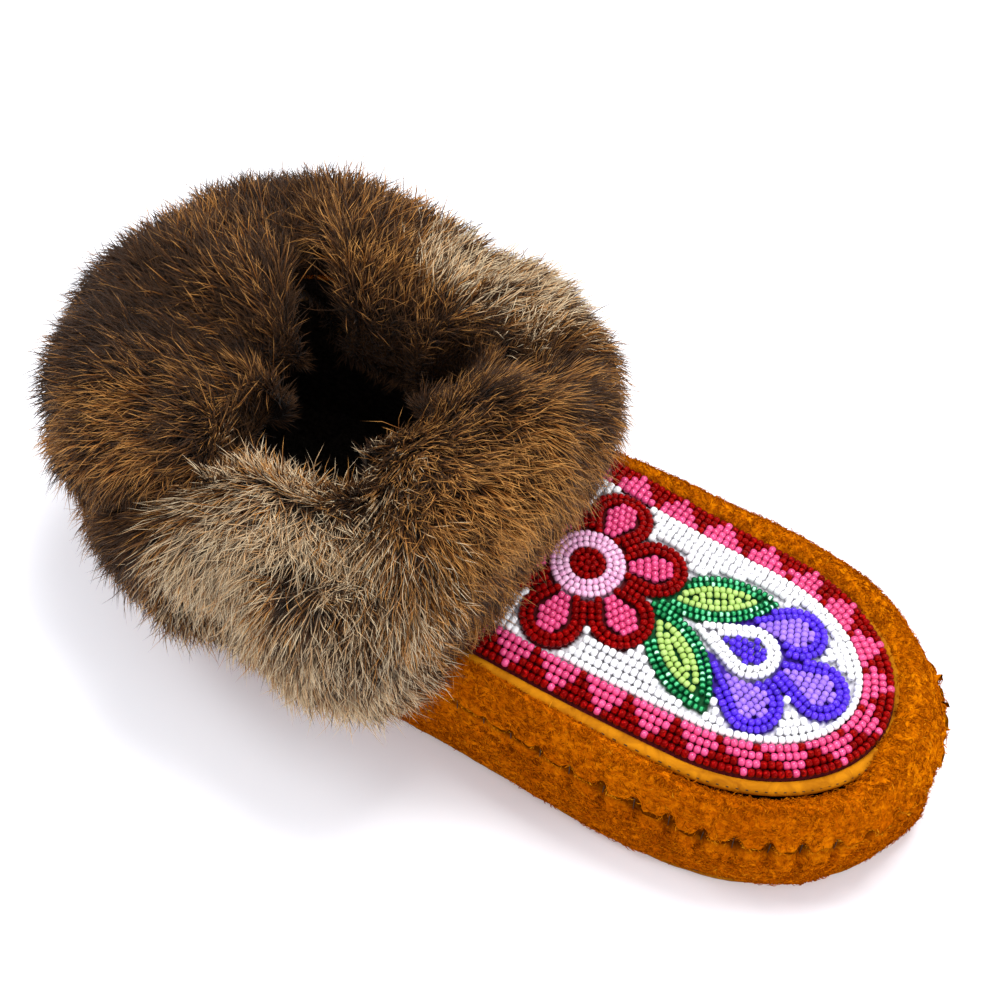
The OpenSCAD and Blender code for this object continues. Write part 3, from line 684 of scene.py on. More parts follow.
def stitches(name, A, Bp, r, mat, repl, sides=8):
    """Short rounded threads from points A to points Bp."""
    A, Bp = np.asarray(A, float), np.asarray(Bp, float)
    X = unit(Bp - A)
    Y = unit(np.cross(X, [0.13, 0.31, 1.0]))
    Z = np.cross(X, Y)
    th_ = np.radians(np.arange(sides) * 360 / sides)
    rows = []
    for u_, k in ((-0.04, 0.35), (0.0, 0.8), (0.2, 1.05), (0.5, 1.0), (0.8, 1.05), (1.0, 0.8), (1.04, 0.35)):
        c = A + (Bp - A) * u_
        turn = np.cos(th_)[None, :, None] * Y[:, None] + np.sin(th_)[None, :, None] * Z[:, None]
        rows.append(c[:, None] + r * k * turn)
    Vt = np.stack(rows, 1)
    m = Vt.shape[1]
    Ft = (np.arange(len(A)) * m * sides)[:, None, None] + grid_faces(m, sides, False, True)[None]
    make(name, Vt.reshape(-1, 3), Ft.reshape(-1, 4), mat, repl)


# seam stitches sunk in the pinches
nxt = np.roll(pinch, -1)
pinched = [i for i in range(COLS) if pinch[i] >= pinch[i - 1] and pinch[i] > nxt[i] and pinch[i] > 0.5]
foot_row = int(np.argmin(np.abs(key_w - 5.4)))
foot_points = W[foot_row, pinched] - 0.2 * Nw[foot_row, pinched]
lip_points = B[1, pinched] - 0.4 * Nb[4, pinched]
stitches("seam_stitches", foot_points, lip_points, 0.11, MAT["thread_dark"],
         ["side_seam_thread"])


# ---------------------------------------------------------------- sole patch, footbed and lining
def patch(name, f, t, z0, z1, look, repl, amp, size, seed, floor=None):
    """A flat pad inside the outline, between heights z0 and z1."""
    r = ring(even_params(380)[0], f, t, 0)
    c = np.array([r[:, 0].mean(), r[:, 1].mean(), 0])
    rows = [c + (r - c) * k + [0, 0, z0] for k in (0.02, 0.1, 0.2, 0.35, 0.5, 0.65, 0.8, 0.9, 0.96, 0.99)]
    rows += [r + [0, 0, z0 + (z1 - z0) * 0.25], r + [0, 0, z0 + (z1 - z0) * 0.75]]
    rows += [c + (r - c) * k + [0, 0, z1] for k in (0.99, 0.96, 0.9, 0.8, 0.65, 0.5, 0.35, 0.2, 0.1, 0.02)]
    P = spline(rows, 120)
    n = normals(P, False, True)
    P = P + n * (amp * (noise(P, size, seed) + 0.5 * noise(P, size / 2.7, seed + 1)))[..., None]
    if floor is not None:
        P[..., 2] = np.maximum(P[..., 2], floor)
    sheet(name, P, False, True, look, repl)


patch("sole_patch", 0.89, 0, 0, 2, "suede_sole", ["outsole"], 0.16, 4, 41, floor=0)
patch("fleece_footbed", 0.86, 4.6, 6.9, BED_Z, "fleece", ["footbed"], 0.5, 5, 43)
lin_keys = [
    rnd(0.9, 3, BED_Z - 3), rnd(0.96, 3, BED_Z + 4), band(0.96, 3, 0.2, 0), band(0.89, 3, 0.7, -3),
    band(0.77, 2.6, 1, -4.4), band(0.6, 1.2, 1, -3.8), band(0.42, 0.6, 1, -4.4), band(0.42, 0.6, 1, -6.2),
    band(0.6, 2.6, 1, -6), band(0.75, 4.4, 1, -7), band(0.85, 5.2, 0.6, -3.5), band(0.92, 5.2, 0.1, 0),
    rnd(0.92, 5.2, BED_Z + 4), rnd(0.86, 4.9, BED_Z - 3)]
Lg = spline(lin_keys, 70, True)
Ln = normals(Lg, True, True)
Lg = Lg + Ln * (0.25 * noise(Lg, 4, 61) + 0.15 * noise(Lg, 1.6, 62))[..., None]
sheet("fleece_lining", Lg, True, True, "fleece", ["foot_lining"])


# ---------------------------------------------------------------- piping
def vamp_edge(s):
    """Points of the vamp's edge, from one side of the ankle (s 0) round the toe to the other (s 1)."""
    x0 = ANKLE_X + (NOSE_X - ANKLE_X) * s / 0.28
    x2 = NOSE_X + (ANKLE_X - NOSE_X) * (s - 0.72) / 0.28
    f = np.radians(-90 + 180 * (s - 0.28) / 0.44)
    lo, hi = s < 0.28, s > 0.72
    x = np.where(lo, x0, np.where(hi, x2, NOSE_X + NOSE * np.cos(f)))
    y = np.where(lo, -vamp_w(x), np.where(hi, vamp_w(x), VAMP_HW * np.sin(f)))
    return np.stack([x, y], -1)


def edge_out(s):
    """Directions out from the vamp's edge."""
    t = unit(vamp_edge(np.minimum(1, s + 0.01)) - vamp_edge(np.maximum(0, s - 0.01)))
    return np.stack([t[:, 1], -t[:, 0]], -1)


ps = np.linspace(0.02, 0.98, 900)
pe = vamp_edge(ps)
outn = edge_out(ps)
arc_p = np.r_[0, np.cumsum(np.linalg.norm(np.diff(pe, axis=0), axis=1))]
ang = np.radians(np.arange(0, 360, 12))
R = 1.4 - 0.45 * sm((pe[:, 1] + 14) / 16)
tube = []
for a in ang:
    d = R + R * 1.12 * np.cos(a)
    q = pe + outn * np.reshape(d, (-1, 1))
    w = 0.10 * noise(np.c_[arc_p, 0 * arc_p + a * 1.2, 0 * arc_p], 2.6, 81)
    w = w + 0.08 * noise(np.c_[arc_p, 0 * arc_p + a, 0 * arc_p], 9, 82)
    z = edge_z(q[:, 0]) - 0.55 + (R + w) * np.sin(a) + 0.1
    tube.append(np.stack([q[:, 0], q[:, 1] + skew(q[:, 0]), z], -1))
sheet("leather_piping", np.stack(tube, 0), True, False, "suede_smooth", ["vamp_piping"])


def beside_piping(s, d, z):
    """Points d out from the vamp's edge and z above it."""
    p = vamp_edge(s) + d * edge_out(s)
    return np.c_[p[:, 0], p[:, 1] + skew(p[:, 0]), edge_z(p[:, 0]) + z]


st = np.linspace(0.05, 0.95, 120)
stitches("piping_stitches", beside_piping(st, 2.6, 0.35), beside_piping(st + 0.0022, 2.62, 0.3), 0.15,
         MAT["thread_dark"], ["piping_thread"])
si = np.arange(150) * NN / 150
so = ring(si, 0.86, 0, 1.9), ring((si + 0.35) % NN, 0.86, 0, 1.9)
stitches("sole_stitches", so[0], so[1], 0.25, MAT["thread_dark"], ["sole_thread"])

# ---------------------------------------------------------------- beadwork
FLOWER = (16.5, 0.0)
PETAL_OUT = 15.1                                 # from the flower's middle to a petal's round end
# a drop is (x, y, radius of its round end, half angle of its tip, heading of its tip)
PETALS = [(FLOWER[0] + PETAL_OUT * math.cos(math.radians(a)),
           FLOWER[1] + PETAL_OUT * math.sin(math.radians(a)), 7.5, 28.5, a + 180)
          for a in (-32, 28, 88, 148, 208, 268)]
# a leaf is (x, y, length, half width, heading)
LEAVES = [(32.2, 0.4, 29.4, 6.35, 29.5), (32.2, -0.4, 29.8, 6.4, -37.8)]
HEART = (57.4, -0.8, 6.7, 26, 180)
BELLS = [(64.0, 9.3, 6.9, 21, 200), (74.0, -0.9, 7.0, 22, 180), (63.0, -11.5, 6.9, 21, 160)]
SMALL = 0.93                                     # size of the motifs' beads beside the ground's
OUTLINES, FILLING = (0.86, 2.46), 3.1           # insets of a motif's two outline rows, and of its filling
MOTIF_PITCH = 1.42                                       # pitch of the motifs' beads
ROW_END = -1.0


def local(p, o, a):
    """Points p seen from o with its X axis at a degrees; Y is folded to one side."""
    c, s = math.cos(math.radians(a)), math.sin(math.radians(a))
    v = p - np.array(o[:2])
    return np.stack([v[..., 0] * c + v[..., 1] * s, np.abs(v[..., 1] * c - v[..., 0] * s)], -1)


def sd_drop(p, d):
    """Distance outside a drop; negative inside."""
    q = local(p, d, d[4])
    cap = np.degrees(np.arctan2(q[..., 1], q[..., 0])) > 90 - d[3]
    a = math.radians(d[3])
    flank = q[..., 0] * math.sin(a) + q[..., 1] * math.cos(a) - d[2]
    return np.where(cap, np.linalg.norm(q, axis=-1) - d[2], flank)


def sd_leaf(p, l):
    """Distance outside a leaf; negative inside."""
    q = local(p, l, l[4])
    r = (l[2] ** 2 / 4 + l[3] ** 2) / (2 * l[3])
    return np.hypot(q[..., 0] - l[2] / 2, q[..., 1] + r - l[3]) - r


def place(p, o, a):
    """Points p turned by a degrees and moved to o."""
    c, s = math.cos(math.radians(a)), math.sin(math.radians(a))
    p = np.asarray(p, float)
    return np.stack([o[0] + p[..., 0] * c - p[..., 1] * s, o[1] + p[..., 0] * s + p[..., 1] * c], -1)


def drop_row(d, e):
    """Outline of a drop, set in by e."""
    r, al = d[2] - e, d[3]
    f = np.radians(np.linspace(90 - al, 270 + al, 41))
    tip = [r / math.sin(math.radians(al)), 0]
    return place(np.vstack([[tip], np.c_[r * np.cos(f), r * np.sin(f)], [tip]]), d, d[4])


def leaf_row(l, e, side):
    """One flank of a leaf, set in by e."""
    r0 = (l[2] ** 2 / 4 + l[3] ** 2) / (2 * l[3])
    r, h = r0 - e, r0 - l[3]
    w = math.acos(h / r)
    f = np.linspace(-w, w, 33)
    return place(np.c_[l[2] / 2 + r * np.sin(f), side * (r * np.cos(f) - h)], l, l[4])


def circle_row(o, r):
    f = np.radians(np.arange(0, 361, 10))
    return np.c_[o[0] + r * np.cos(f), o[1] + r * np.sin(f)]


def u_row(k):
    """Row k of beads in from the vamp's edge."""
    d = 1.1 + ROW * k
    x = np.linspace(ROW_END - 10, NOSE_X, 17)
    f = np.radians(np.linspace(-90, 90, 33))[1:-1]
    nose = np.c_[NOSE_X + (NOSE - d) * np.cos(f), (VAMP_HW - d) * np.sin(f)]
    return np.vstack([np.c_[x, -(vamp_w(x) - d)], nose, np.c_[x[::-1], (vamp_w(x) - d)[::-1]]])


def along(p, pitch=PITCH):
    """Beads spaced evenly along a polyline: x, y, heading, position in the polyline."""
    c = np.r_[0, np.cumsum(np.linalg.norm(np.diff(p, axis=0), axis=1))]
    n = int(c[-1] / pitch)
    if n < 1:
        return np.zeros((0, 4))
    s = (np.arange(n) + 0.5) * c[-1] / n
    get = lambda q: np.c_[np.interp(q, c, p[:, 0]), np.interp(q, c, p[:, 1])]
    d = get(np.minimum(c[-1], s + 0.4)) - get(np.maximum(0, s - 0.4))
    return np.c_[get(s), np.arctan2(d[:, 1], d[:, 0]), np.interp(s, c, np.arange(len(p)))]


placed = []


def sew(beads, slack=0.80, size=1.0):
    """Keeps the beads that have room beside those already sewn, as rows of x, y, heading, size."""
    out = []
    for b in beads:
        if placed:
            q = np.array(placed)
            dx, dy = q[:, 0] - b[0], q[:, 1] - b[1]
            m = (np.abs(dx) < 2.4) & (np.abs(dy) < 2.4)
            if m.any():
                q, dx, dy = q[m], dx[m], dy[m]
                c, s = math.cos(b[2]), math.sin(b[2])
                k, w = np.abs(np.cos(q[:, 2] - b[2])), np.abs(np.sin(q[:, 2] - b[2]))
                h, h2, r2 = BEAD_L / 2 * size, BEAD_L / 2 * q[:, 3], BEAD_R * q[:, 3]
                lx = (h + h2 * k + r2 * w) * slack
                ly = (BEAD_R * size + r2 * k + h2 * w) * slack
                e = (np.abs(dx * c + dy * s) / lx) ** 2.5 + (np.abs(dy * c - dx * s) / ly) ** 2.5
                if (e < 1).any():
                    continue
        placed.append([*b[:3], size])
        out.append([*b[:3], size])
    return np.array(out) if out else np.zeros((0, 4))


def add(group, beads, slack=0.80, size=1.0):
    groups[group].append(sew(beads, slack, size))


def fill(inside, o, a, pitch, row, shiftx=0.0):
    """Rows of beads across a region; inside(p) is True where a bead's centre may lie."""
    out = []
    for k in range(-7, 8):
        x = np.arange(-14, 15) * pitch + (0.5 * pitch if k % 2 else 0) + shiftx
        p = place(np.c_[x, np.full(len(x), k * row)], o, a)
        p = p[inside(p)]
        out += [[*q, math.radians(a), 0] for q in p]
    return np.array(out) if out else np.zeros((0, 4))


fc = np.array(FLOWER)
in_flower = lambda p: np.linalg.norm(p - fc, axis=-1)
sd_petals = lambda p: np.min([sd_drop(p, d) for d in PETALS], axis=0)
sd_leaves = lambda p: np.min([sd_leaf(p, l) for l in LEAVES], axis=0)
sd_bells = lambda p: np.min([sd_drop(p, d) for d in BELLS], axis=0)

GROUP_LOOK = {"border_red": "bead_red", "border_pink": "bead_pink", "ground_white": "bead_white",
              "flower_red": "bead_red", "flower_ring": "bead_ring", "flower_pink": "bead_pink",
              "leaf_green": "bead_green", "leaf_lime": "bead_lime", "tulip_violet": "bead_violet",
              "tulip_lavender": "bead_lavender", "tulip_white": "bead_white"}
groups = {g: [] for g in GROUP_LOOK}
e0 = u_row(0)
ec = np.r_[0, np.cumsum(np.linalg.norm(np.diff(e0, axis=0), axis=1))]
TRIS = (1, 3, 5, 6)                              # pink beads of a triangle in each border row
centres = 113.5 + 11.2 * (np.arange(28) - 14) + (ec[-1] - 229.65) / 2   # along the outer row
for k in range(4):
    row = along(u_row(k))
    at_c = np.interp(centres, ec, np.arange(len(e0)))
    ci = np.round(np.interp(at_c, row[:, 3], np.arange(len(row)), left=-99, right=9999)).astype(int)
    pink = np.zeros(len(row), bool)
    n = TRIS[k]
    for m, c in enumerate(ci):
        if not 0 <= c < len(row):
            continue
        lo_, hi_ = n // 2, (n - 1) // 2
        if m + 1 < len(ci) and ci[m + 1] < 9999:
            hi_ = min(hi_, max(0, ci[m + 1] - c - 2 - n // 2))
        pink[max(0, c - lo_):c + hi_ + 1] = True
        pink[c] = True
    sewn = sew(row)
    groups["border_pink"].append(sewn[pink])
    groups["border_red"].append(sewn[~pink])
add("flower_red", np.array([[*FLOWER, 0, 0]]), 0.8, SMALL)
add("flower_red", along(circle_row(fc, 1.65), 1.45), 0.66, SMALL)
add("flower_red", along(circle_row(fc, 3.3), 1.45), 0.66, SMALL)
for r in (4.95, 6.45, 7.9):
    add("flower_ring", along(circle_row(fc, r), 1.4), 0.68, 0.86)
for e in OUTLINES:
    for d in PETALS:
        b = along(drop_row(d, e), MOTIF_PITCH)
        add("flower_red", b[in_flower(b[:, :2]) > 9.0], 0.76, SMALL)
for d in PETALS:
    b = fill(lambda p: (sd_drop(p, d) < -FILLING - 0.5) & (in_flower(p) > 9.1), d, d[4] + 90,
             MOTIF_PITCH, 1.66)
    add("flower_pink", b, 0.7, SMALL)
for e in (0.8, 2.3):
    for l in LEAVES:
        for s in (-1, 1):
            b = along(leaf_row(l, e, s), 1.36)
            add("leaf_green", b[sd_petals(b[:, :2]) > 0.5], 0.7, 0.8)
for l in LEAVES:
    for e in (3.8, 5.3):
        for s in (-1, 1):
            add("leaf_lime", along(leaf_row(l, e, s), 1.42), 0.7, 0.84)
for e in OUTLINES:
    b = along(drop_row(HEART, e), MOTIF_PITCH)
    add("tulip_white", b[sd_leaves(b[:, :2]) > 0.6], 0.74, 0.92)
b = fill(lambda p: sd_drop(p, HEART) < -3.3, HEART, 180, 1.5, 1.55)
add("tulip_violet", b, 0.64, 0.9)
for e in OUTLINES:
    for d in BELLS:
        b = along(drop_row(d, e), MOTIF_PITCH)
        clear = (sd_drop(b[:, :2], HEART) > 0.5) & (sd_leaves(b[:, :2]) > 0.5)
        add("tulip_violet", b[clear], 0.74, SMALL)
for d in BELLS:
    b = fill(lambda p: (sd_drop(p, d) < -3.3) & (sd_drop(p, HEART) > 0.6), d, d[4] + 90, 1.36, 1.56, 0.68)
    add("tulip_lavender", b, 0.64, 0.88)
shapes = lambda p: [in_flower(p) - 8.5, sd_petals(p), sd_leaves(p), sd_bells(p), sd_drop(p, HEART)]
motif = lambda p: np.minimum.reduce(shapes(p))
for k in range(4, 16):
    b = along(u_row(k)) if k < 15 else along(np.array([[ROW_END - 10, 0.0], [NOSE_X + 30, 0]]))
    add("ground_white", b[motif(b[:, :2]) > 0.25], 0.76)
for dy in (0.0, 0.9):   # short rows in the pockets that are left
    g = np.array([[x, y, 0, 0] for y in np.arange(-20, 21, 1.85) + dy
                  for x in np.arange(ROW_END - 10, 84, 0.8)])
    toe = np.hypot((g[:, 0] - NOSE_X) / (NOSE - 8.3), g[:, 1] / (VAMP_HW - 8.3))
    field = np.where(g[:, 0] > NOSE_X, toe, np.abs(g[:, 1]) / (VAMP_HW - 8.3)) < 1
    add("ground_white", g[(motif(g[:, :2]) > 0.2) & field], 0.74)

# one bead: a rounded ring of glass with its hole along local X
AROUND, PROF = 14, 11
a = np.radians(np.linspace(-90, 90, PROF - 2))
hx = BEAD_L / 2 * np.sin(a)
hr = 0.32 + (BEAD_R - 0.32) * np.cos(a) ** 0.8
hx, hr = np.r_[hx, BEAD_L * 0.3, -BEAD_L * 0.3], np.r_[hr, 0.3, 0.3]
th = np.radians(np.arange(AROUND) * 360 / AROUND)
BEAD = np.stack([np.tile(hx[:, None], (1, AROUND)), hr[:, None] * np.cos(th), hr[:, None] * np.sin(th)], -1)
BEAD = BEAD.reshape(-1, 3)
BF = grid_faces(PROF, AROUND, True, True)
BV = np.repeat(np.r_[np.linspace(0, 1, PROF - 2), 0.9, 0.1], AROUND)


def bead_piece(name, beads, mat, repl, seed):
    """All beads of one group as one piece, each with its own tint, tilt and turn."""
    r = np.random.default_rng(seed)
    b = np.vstack([g for g in beads if len(g)])
    n = len(b)
    b[:, :2] += r.normal(0, 0.035, (n, 2))
    h = b[:, 2] + r.normal(0, 0.05, n)
    dx, dy = np.cos(h), np.sin(h)
    z = vamp_z(b[:, 0], b[:, 1])
    ahead = vamp_z(b[:, 0] + dx * 0.8, b[:, 1] + dy * 0.8)
    slope = (ahead - vamp_z(b[:, 0] - dx * 0.8, b[:, 1] - dy * 0.8)) / 1.6 + r.normal(0, 0.06, n)
    X = unit(np.c_[dx, dy, slope])
    Y = unit(np.cross([0, 0, 1], X))
    Z = np.cross(X, Y)
    k = (b[:, 3] * r.uniform(0.95, 1.04, n))[:, None, None]
    M = np.stack([X, Y, Z], 1)
    C = np.c_[b[:, 0], b[:, 1] + skew(b[:, 0]), z + BEAD_R * b[:, 3] + 0.2 + r.normal(0, 0.04, n)]
    spin = r.random(n) * 6.28
    lb = np.tile(BEAD[None], (n, 1, 1))
    c, s = np.cos(spin)[:, None], np.sin(spin)[:, None]
    y, zz = lb[..., 1] * c - lb[..., 2] * s, lb[..., 1] * s + lb[..., 2] * c
    lb = np.stack([lb[..., 0], y, zz], -1) * k
    V = C[:, None] + np.einsum("nvj,njk->nvk", lb, M)
    F = (np.arange(n) * len(BEAD))[:, None, None] + BF[None]
    uv = np.c_[np.repeat(r.random(n), len(BEAD)), np.tile(BV, n)]
    make(name, V.reshape(-1, 3), F.reshape(-1, 4), mat, repl, uv)


for i, (g, slot) in enumerate(GROUP_LOOK.items()):
    bead_piece("glass_" + g, groups[g], MAT[slot], ["beads_" + g], 100 + i)
print("BEADS", {k: sum(len(x) for x in v) for k, v in groups.items()})

# cloth under the beads, tinted by the thread that shows between them
gs = np.linspace(0, 1, 240)
ev = vamp_edge(gs)
half_turn = np.radians(-90 + 180 * gs)
q = np.stack([ANKLE_X + (COL_A + 1.3) * np.cos(half_turn), (COL_B + 0.6) * np.sin(half_turn)], -1)
lim = vamp_w(q[:, 0]) - 0.4
q[:, 1] = np.clip(q[:, 1], -lim, lim)
j = np.linspace(0, 1, 110)[:, None, None]
xy = ev[None] + (q - ev)[None] * j
p2 = xy.reshape(-1, 2)
toe = (1 - np.hypot((p2[:, 0] - NOSE_X) / NOSE, p2[:, 1] / VAMP_HW)) * 33
edge_in = np.where(p2[:, 0] > NOSE_X, toe, vamp_w(p2[:, 0]) - np.abs(p2[:, 1]))
tint = np.tile([0.8, 0.78, 0.82], (len(p2), 1))
tint[(edge_in < 7.5) | (sd_petals(p2) < 0.1) | (in_flower(p2) < 4.6)] = (0.10, 0.003, 0.006)
tint[(in_flower(p2) < 8.5) & (in_flower(p2) >= 4.6)] = (0.72, 0.42, 0.58)
tint[sd_leaves(p2) < 0] = (0.01, 0.10, 0.03)
tint[sd_bells(p2) < 0] = (0.06, 0.02, 0.35)
tint[sd_drop(p2, HEART) < 0] = (0.55, 0.53, 0.6)
top = np.stack([xy[..., 0], xy[..., 1] + skew(xy[..., 0]), vamp_z(xy[..., 0], xy[..., 1])], -1)
top[..., 2] += 0.05 * noise(top, 1.4, 91)
both = np.concatenate([top, (top - [0, 0, 1.5])[::-1]], 0)
tint = tint.reshape(110, 240, 3)
sheet("beaded_cloth", both, True, False, "canvas", ["vamp_backing"],
      colour=np.concatenate([tint, tint[::-1]], 0).reshape(-1, 3))


# ---------------------------------------------------------------- fur
def bell(f, c, w):
    """Bump of half width w degrees at angle c."""
    d = np.abs(((f - c + 540) % 360) - 180)
    return np.where(d < w, 0.5 + 0.5 * np.cos(np.pi * np.minimum(d, w) / w), 0)


def plate(f, c, w, edge):
    """Flat-topped bump of half width w degrees at angle c."""
    return sm((w - np.abs(((f - c + 540) % 360) - 180)) / edge)


# how far the fur's outer face stands out: gain in mm, middle and reach in degrees round the ankle
FUR_LOBES = ((-5, 180, 70), (-13, 0, 75), (-4, -25, 45), (-8, 90, 36), (-3, 162, 25), (-2, 228, 25),
             (-5, 272, 22), (6.5, 303, 22), (-3, 12, 25))


def fur_section(f):
    """[key, angle, (out, up)] of the folded strip at angles f in degrees."""
    o = 32 + 0 * f
    for gain, at_deg, reach in FUR_LOBES:
        o = o + gain * bell(f, at_deg, reach)
    i = 6 + 20 * plate(f, -5, 72, 25) + 11 * plate(f, 88, 32, 12) + 22 * plate(f, 187, 75, 30)
    h = 77 + 11 * bell(f, 0, 80) + 10 * bell(f, 120, 80) + 1.2 * np.sin(np.radians(7 * f))
    l = 28 + 22.5 * bell(f, 0, 62) + 4 * bell(f, 180, 60)
    m = 47.5 + 4 * bell(f, 0, 70)
    mx = lambda a, b, t: a + (b - a) * t
    k = [(o * 0.55, l), (o * 0.82, l + 5), (o * 0.97, l + 15 - 6 * bell(f, 0, 60)), (o, mx(l, h, 0.55)),
         (o * 0.92, mx(l, h, 0.74)), (o * 0.7, mx(l, h, 0.9)), (o * 0.38, h - 0.8), (0 * o, h),
         (-i * 0.45, h - 2.5), (-i * 0.85, mx(m, h, 0.72)), (-i, mx(m, h, 0.4)), (-i * 0.85, m + 4),
         (-i * 0.45, m + 2.5)]
    return np.array([[a + 0 * f, b + 0 * f] for a, b in k]).transpose(0, 2, 1)


def round_ankle(section, f):
    """Points of a section, given as (out, up) from the ankle's oval, at angles f."""
    out, up = section[..., 0], section[..., 1]
    return np.stack([ANKLE_X + (COL_A + out) * np.cos(f), (COL_B + out) * np.sin(f), up], -1)


FC, FR = 420, 96
fang = np.linspace(0, 360, FC, endpoint=False)
sec = spline(fur_section(fang), FR)
pel = round_ankle(sec, np.radians(fang)[None])
tpar = np.linspace(0, 1, FR)[:, None]            # 0 at the outer hem, 1 at the inner hem
Np = -normals(pel, False, True)
if np.mean(np.sum(Np[20] * (pel[20] - pel[20].mean(0)), -1)) < 0:
    Np = -Np
angle_at = fang[None] + 0 * tpar


def furrow(offset, width):
    """Profile of a furrow across the fur; offset is the angle away from its middle line."""
    return gauss((offset + 180) % 360 - 180, width)


cleft = furrow(angle_at - 127, 9) * sm((tpar - 0.35) / 0.3)
cleft2 = furrow(angle_at - 50, 7.5) * sm((tpar - 0.4) / 0.3)
cleft3 = 0.8 * furrow(angle_at + 62, 7.0) * sm((tpar - 0.4) / 0.3)
cleft4 = 0.75 * furrow(angle_at - 228 - 34 * sm(tpar / 0.7), 7.5) * sm((tpar - 0.1) / 0.2)
cleft4 = cleft4 * (1 - sm((tpar - 0.78) / 0.1))
lump = 2.6 * noise(pel, 26, 201) + 1.5 * noise(pel, 11, 202) + 0.5 * noise(pel, 4.5, 203)
snap = lambda q: pel.reshape(-1, 3)[np.argmin(np.linalg.norm(pel.reshape(-1, 3) - q, axis=1))]
WHIRLS = [snap((-11, 23, 78)), snap((-27, -51, 74))]   # crowns the hair turns away from
hollow = sum(gauss(np.linalg.norm(pel - c, axis=-1), 5.5) for c in WHIRLS)
deep = 12 * cleft + 7 * cleft2 + 6 * cleft3 + 8 * cleft4 + 5 * hollow
pel = pel + Np * (-5.5 + lump - deep)[..., None]
Np = normals(pel, False, True) * np.sign(np.sum(normals(pel, False, True) * Np, -1, keepdims=True))

near = 0.95 * plate(fang, -73, 40, 32)[None] * (1 - 0.35 * sm((tpar - 0.5) / 0.14))
pale = np.clip(near + 0.95 * plate(fang, 70, 28, 22)[None] * (1 - sm((tpar - 0.52) / 0.22)), 0, 1)
pale = np.clip(pale + pale * (1.3 - pale) * 1.1 * noise(pel, 13, 233), 0, 0.9)
pale_n = np.clip(pale * (0.75 + 0.5 * noise(pel, 9, 210)), 0, 1)
sheet("fur_pelt", pel, False, True, "pelt", ["fur_front", "fur_back"],
      uv=np.c_[pale_n.ravel(), np.repeat(tpar.ravel(), FC)])

def closed(g):
    """The grid with its first column repeated, so a position can be read anywhere round the ankle."""
    return np.concatenate([g, g[:, :1]], 1)


pelt_grid, normal_grid = closed(pel), closed(Np)
flow = np.zeros_like(pel)
flow[1:-1] = pel[:-2] - pel[2:]
flow[0], flow[-1] = flow[1], flow[-2]
flow_grid = closed(unit(flow))
around_grid = closed(unit(np.roll(pel, -1, 1) - np.roll(pel, 1, 1)))
pale_grid, cleft_grid = closed(pale), closed(cleft + cleft2 + cleft3 + cleft4)
weight = np.ones((FR, FC + 1)) * (1 - 0.75 * sm((tpar - 0.9) / 0.1))


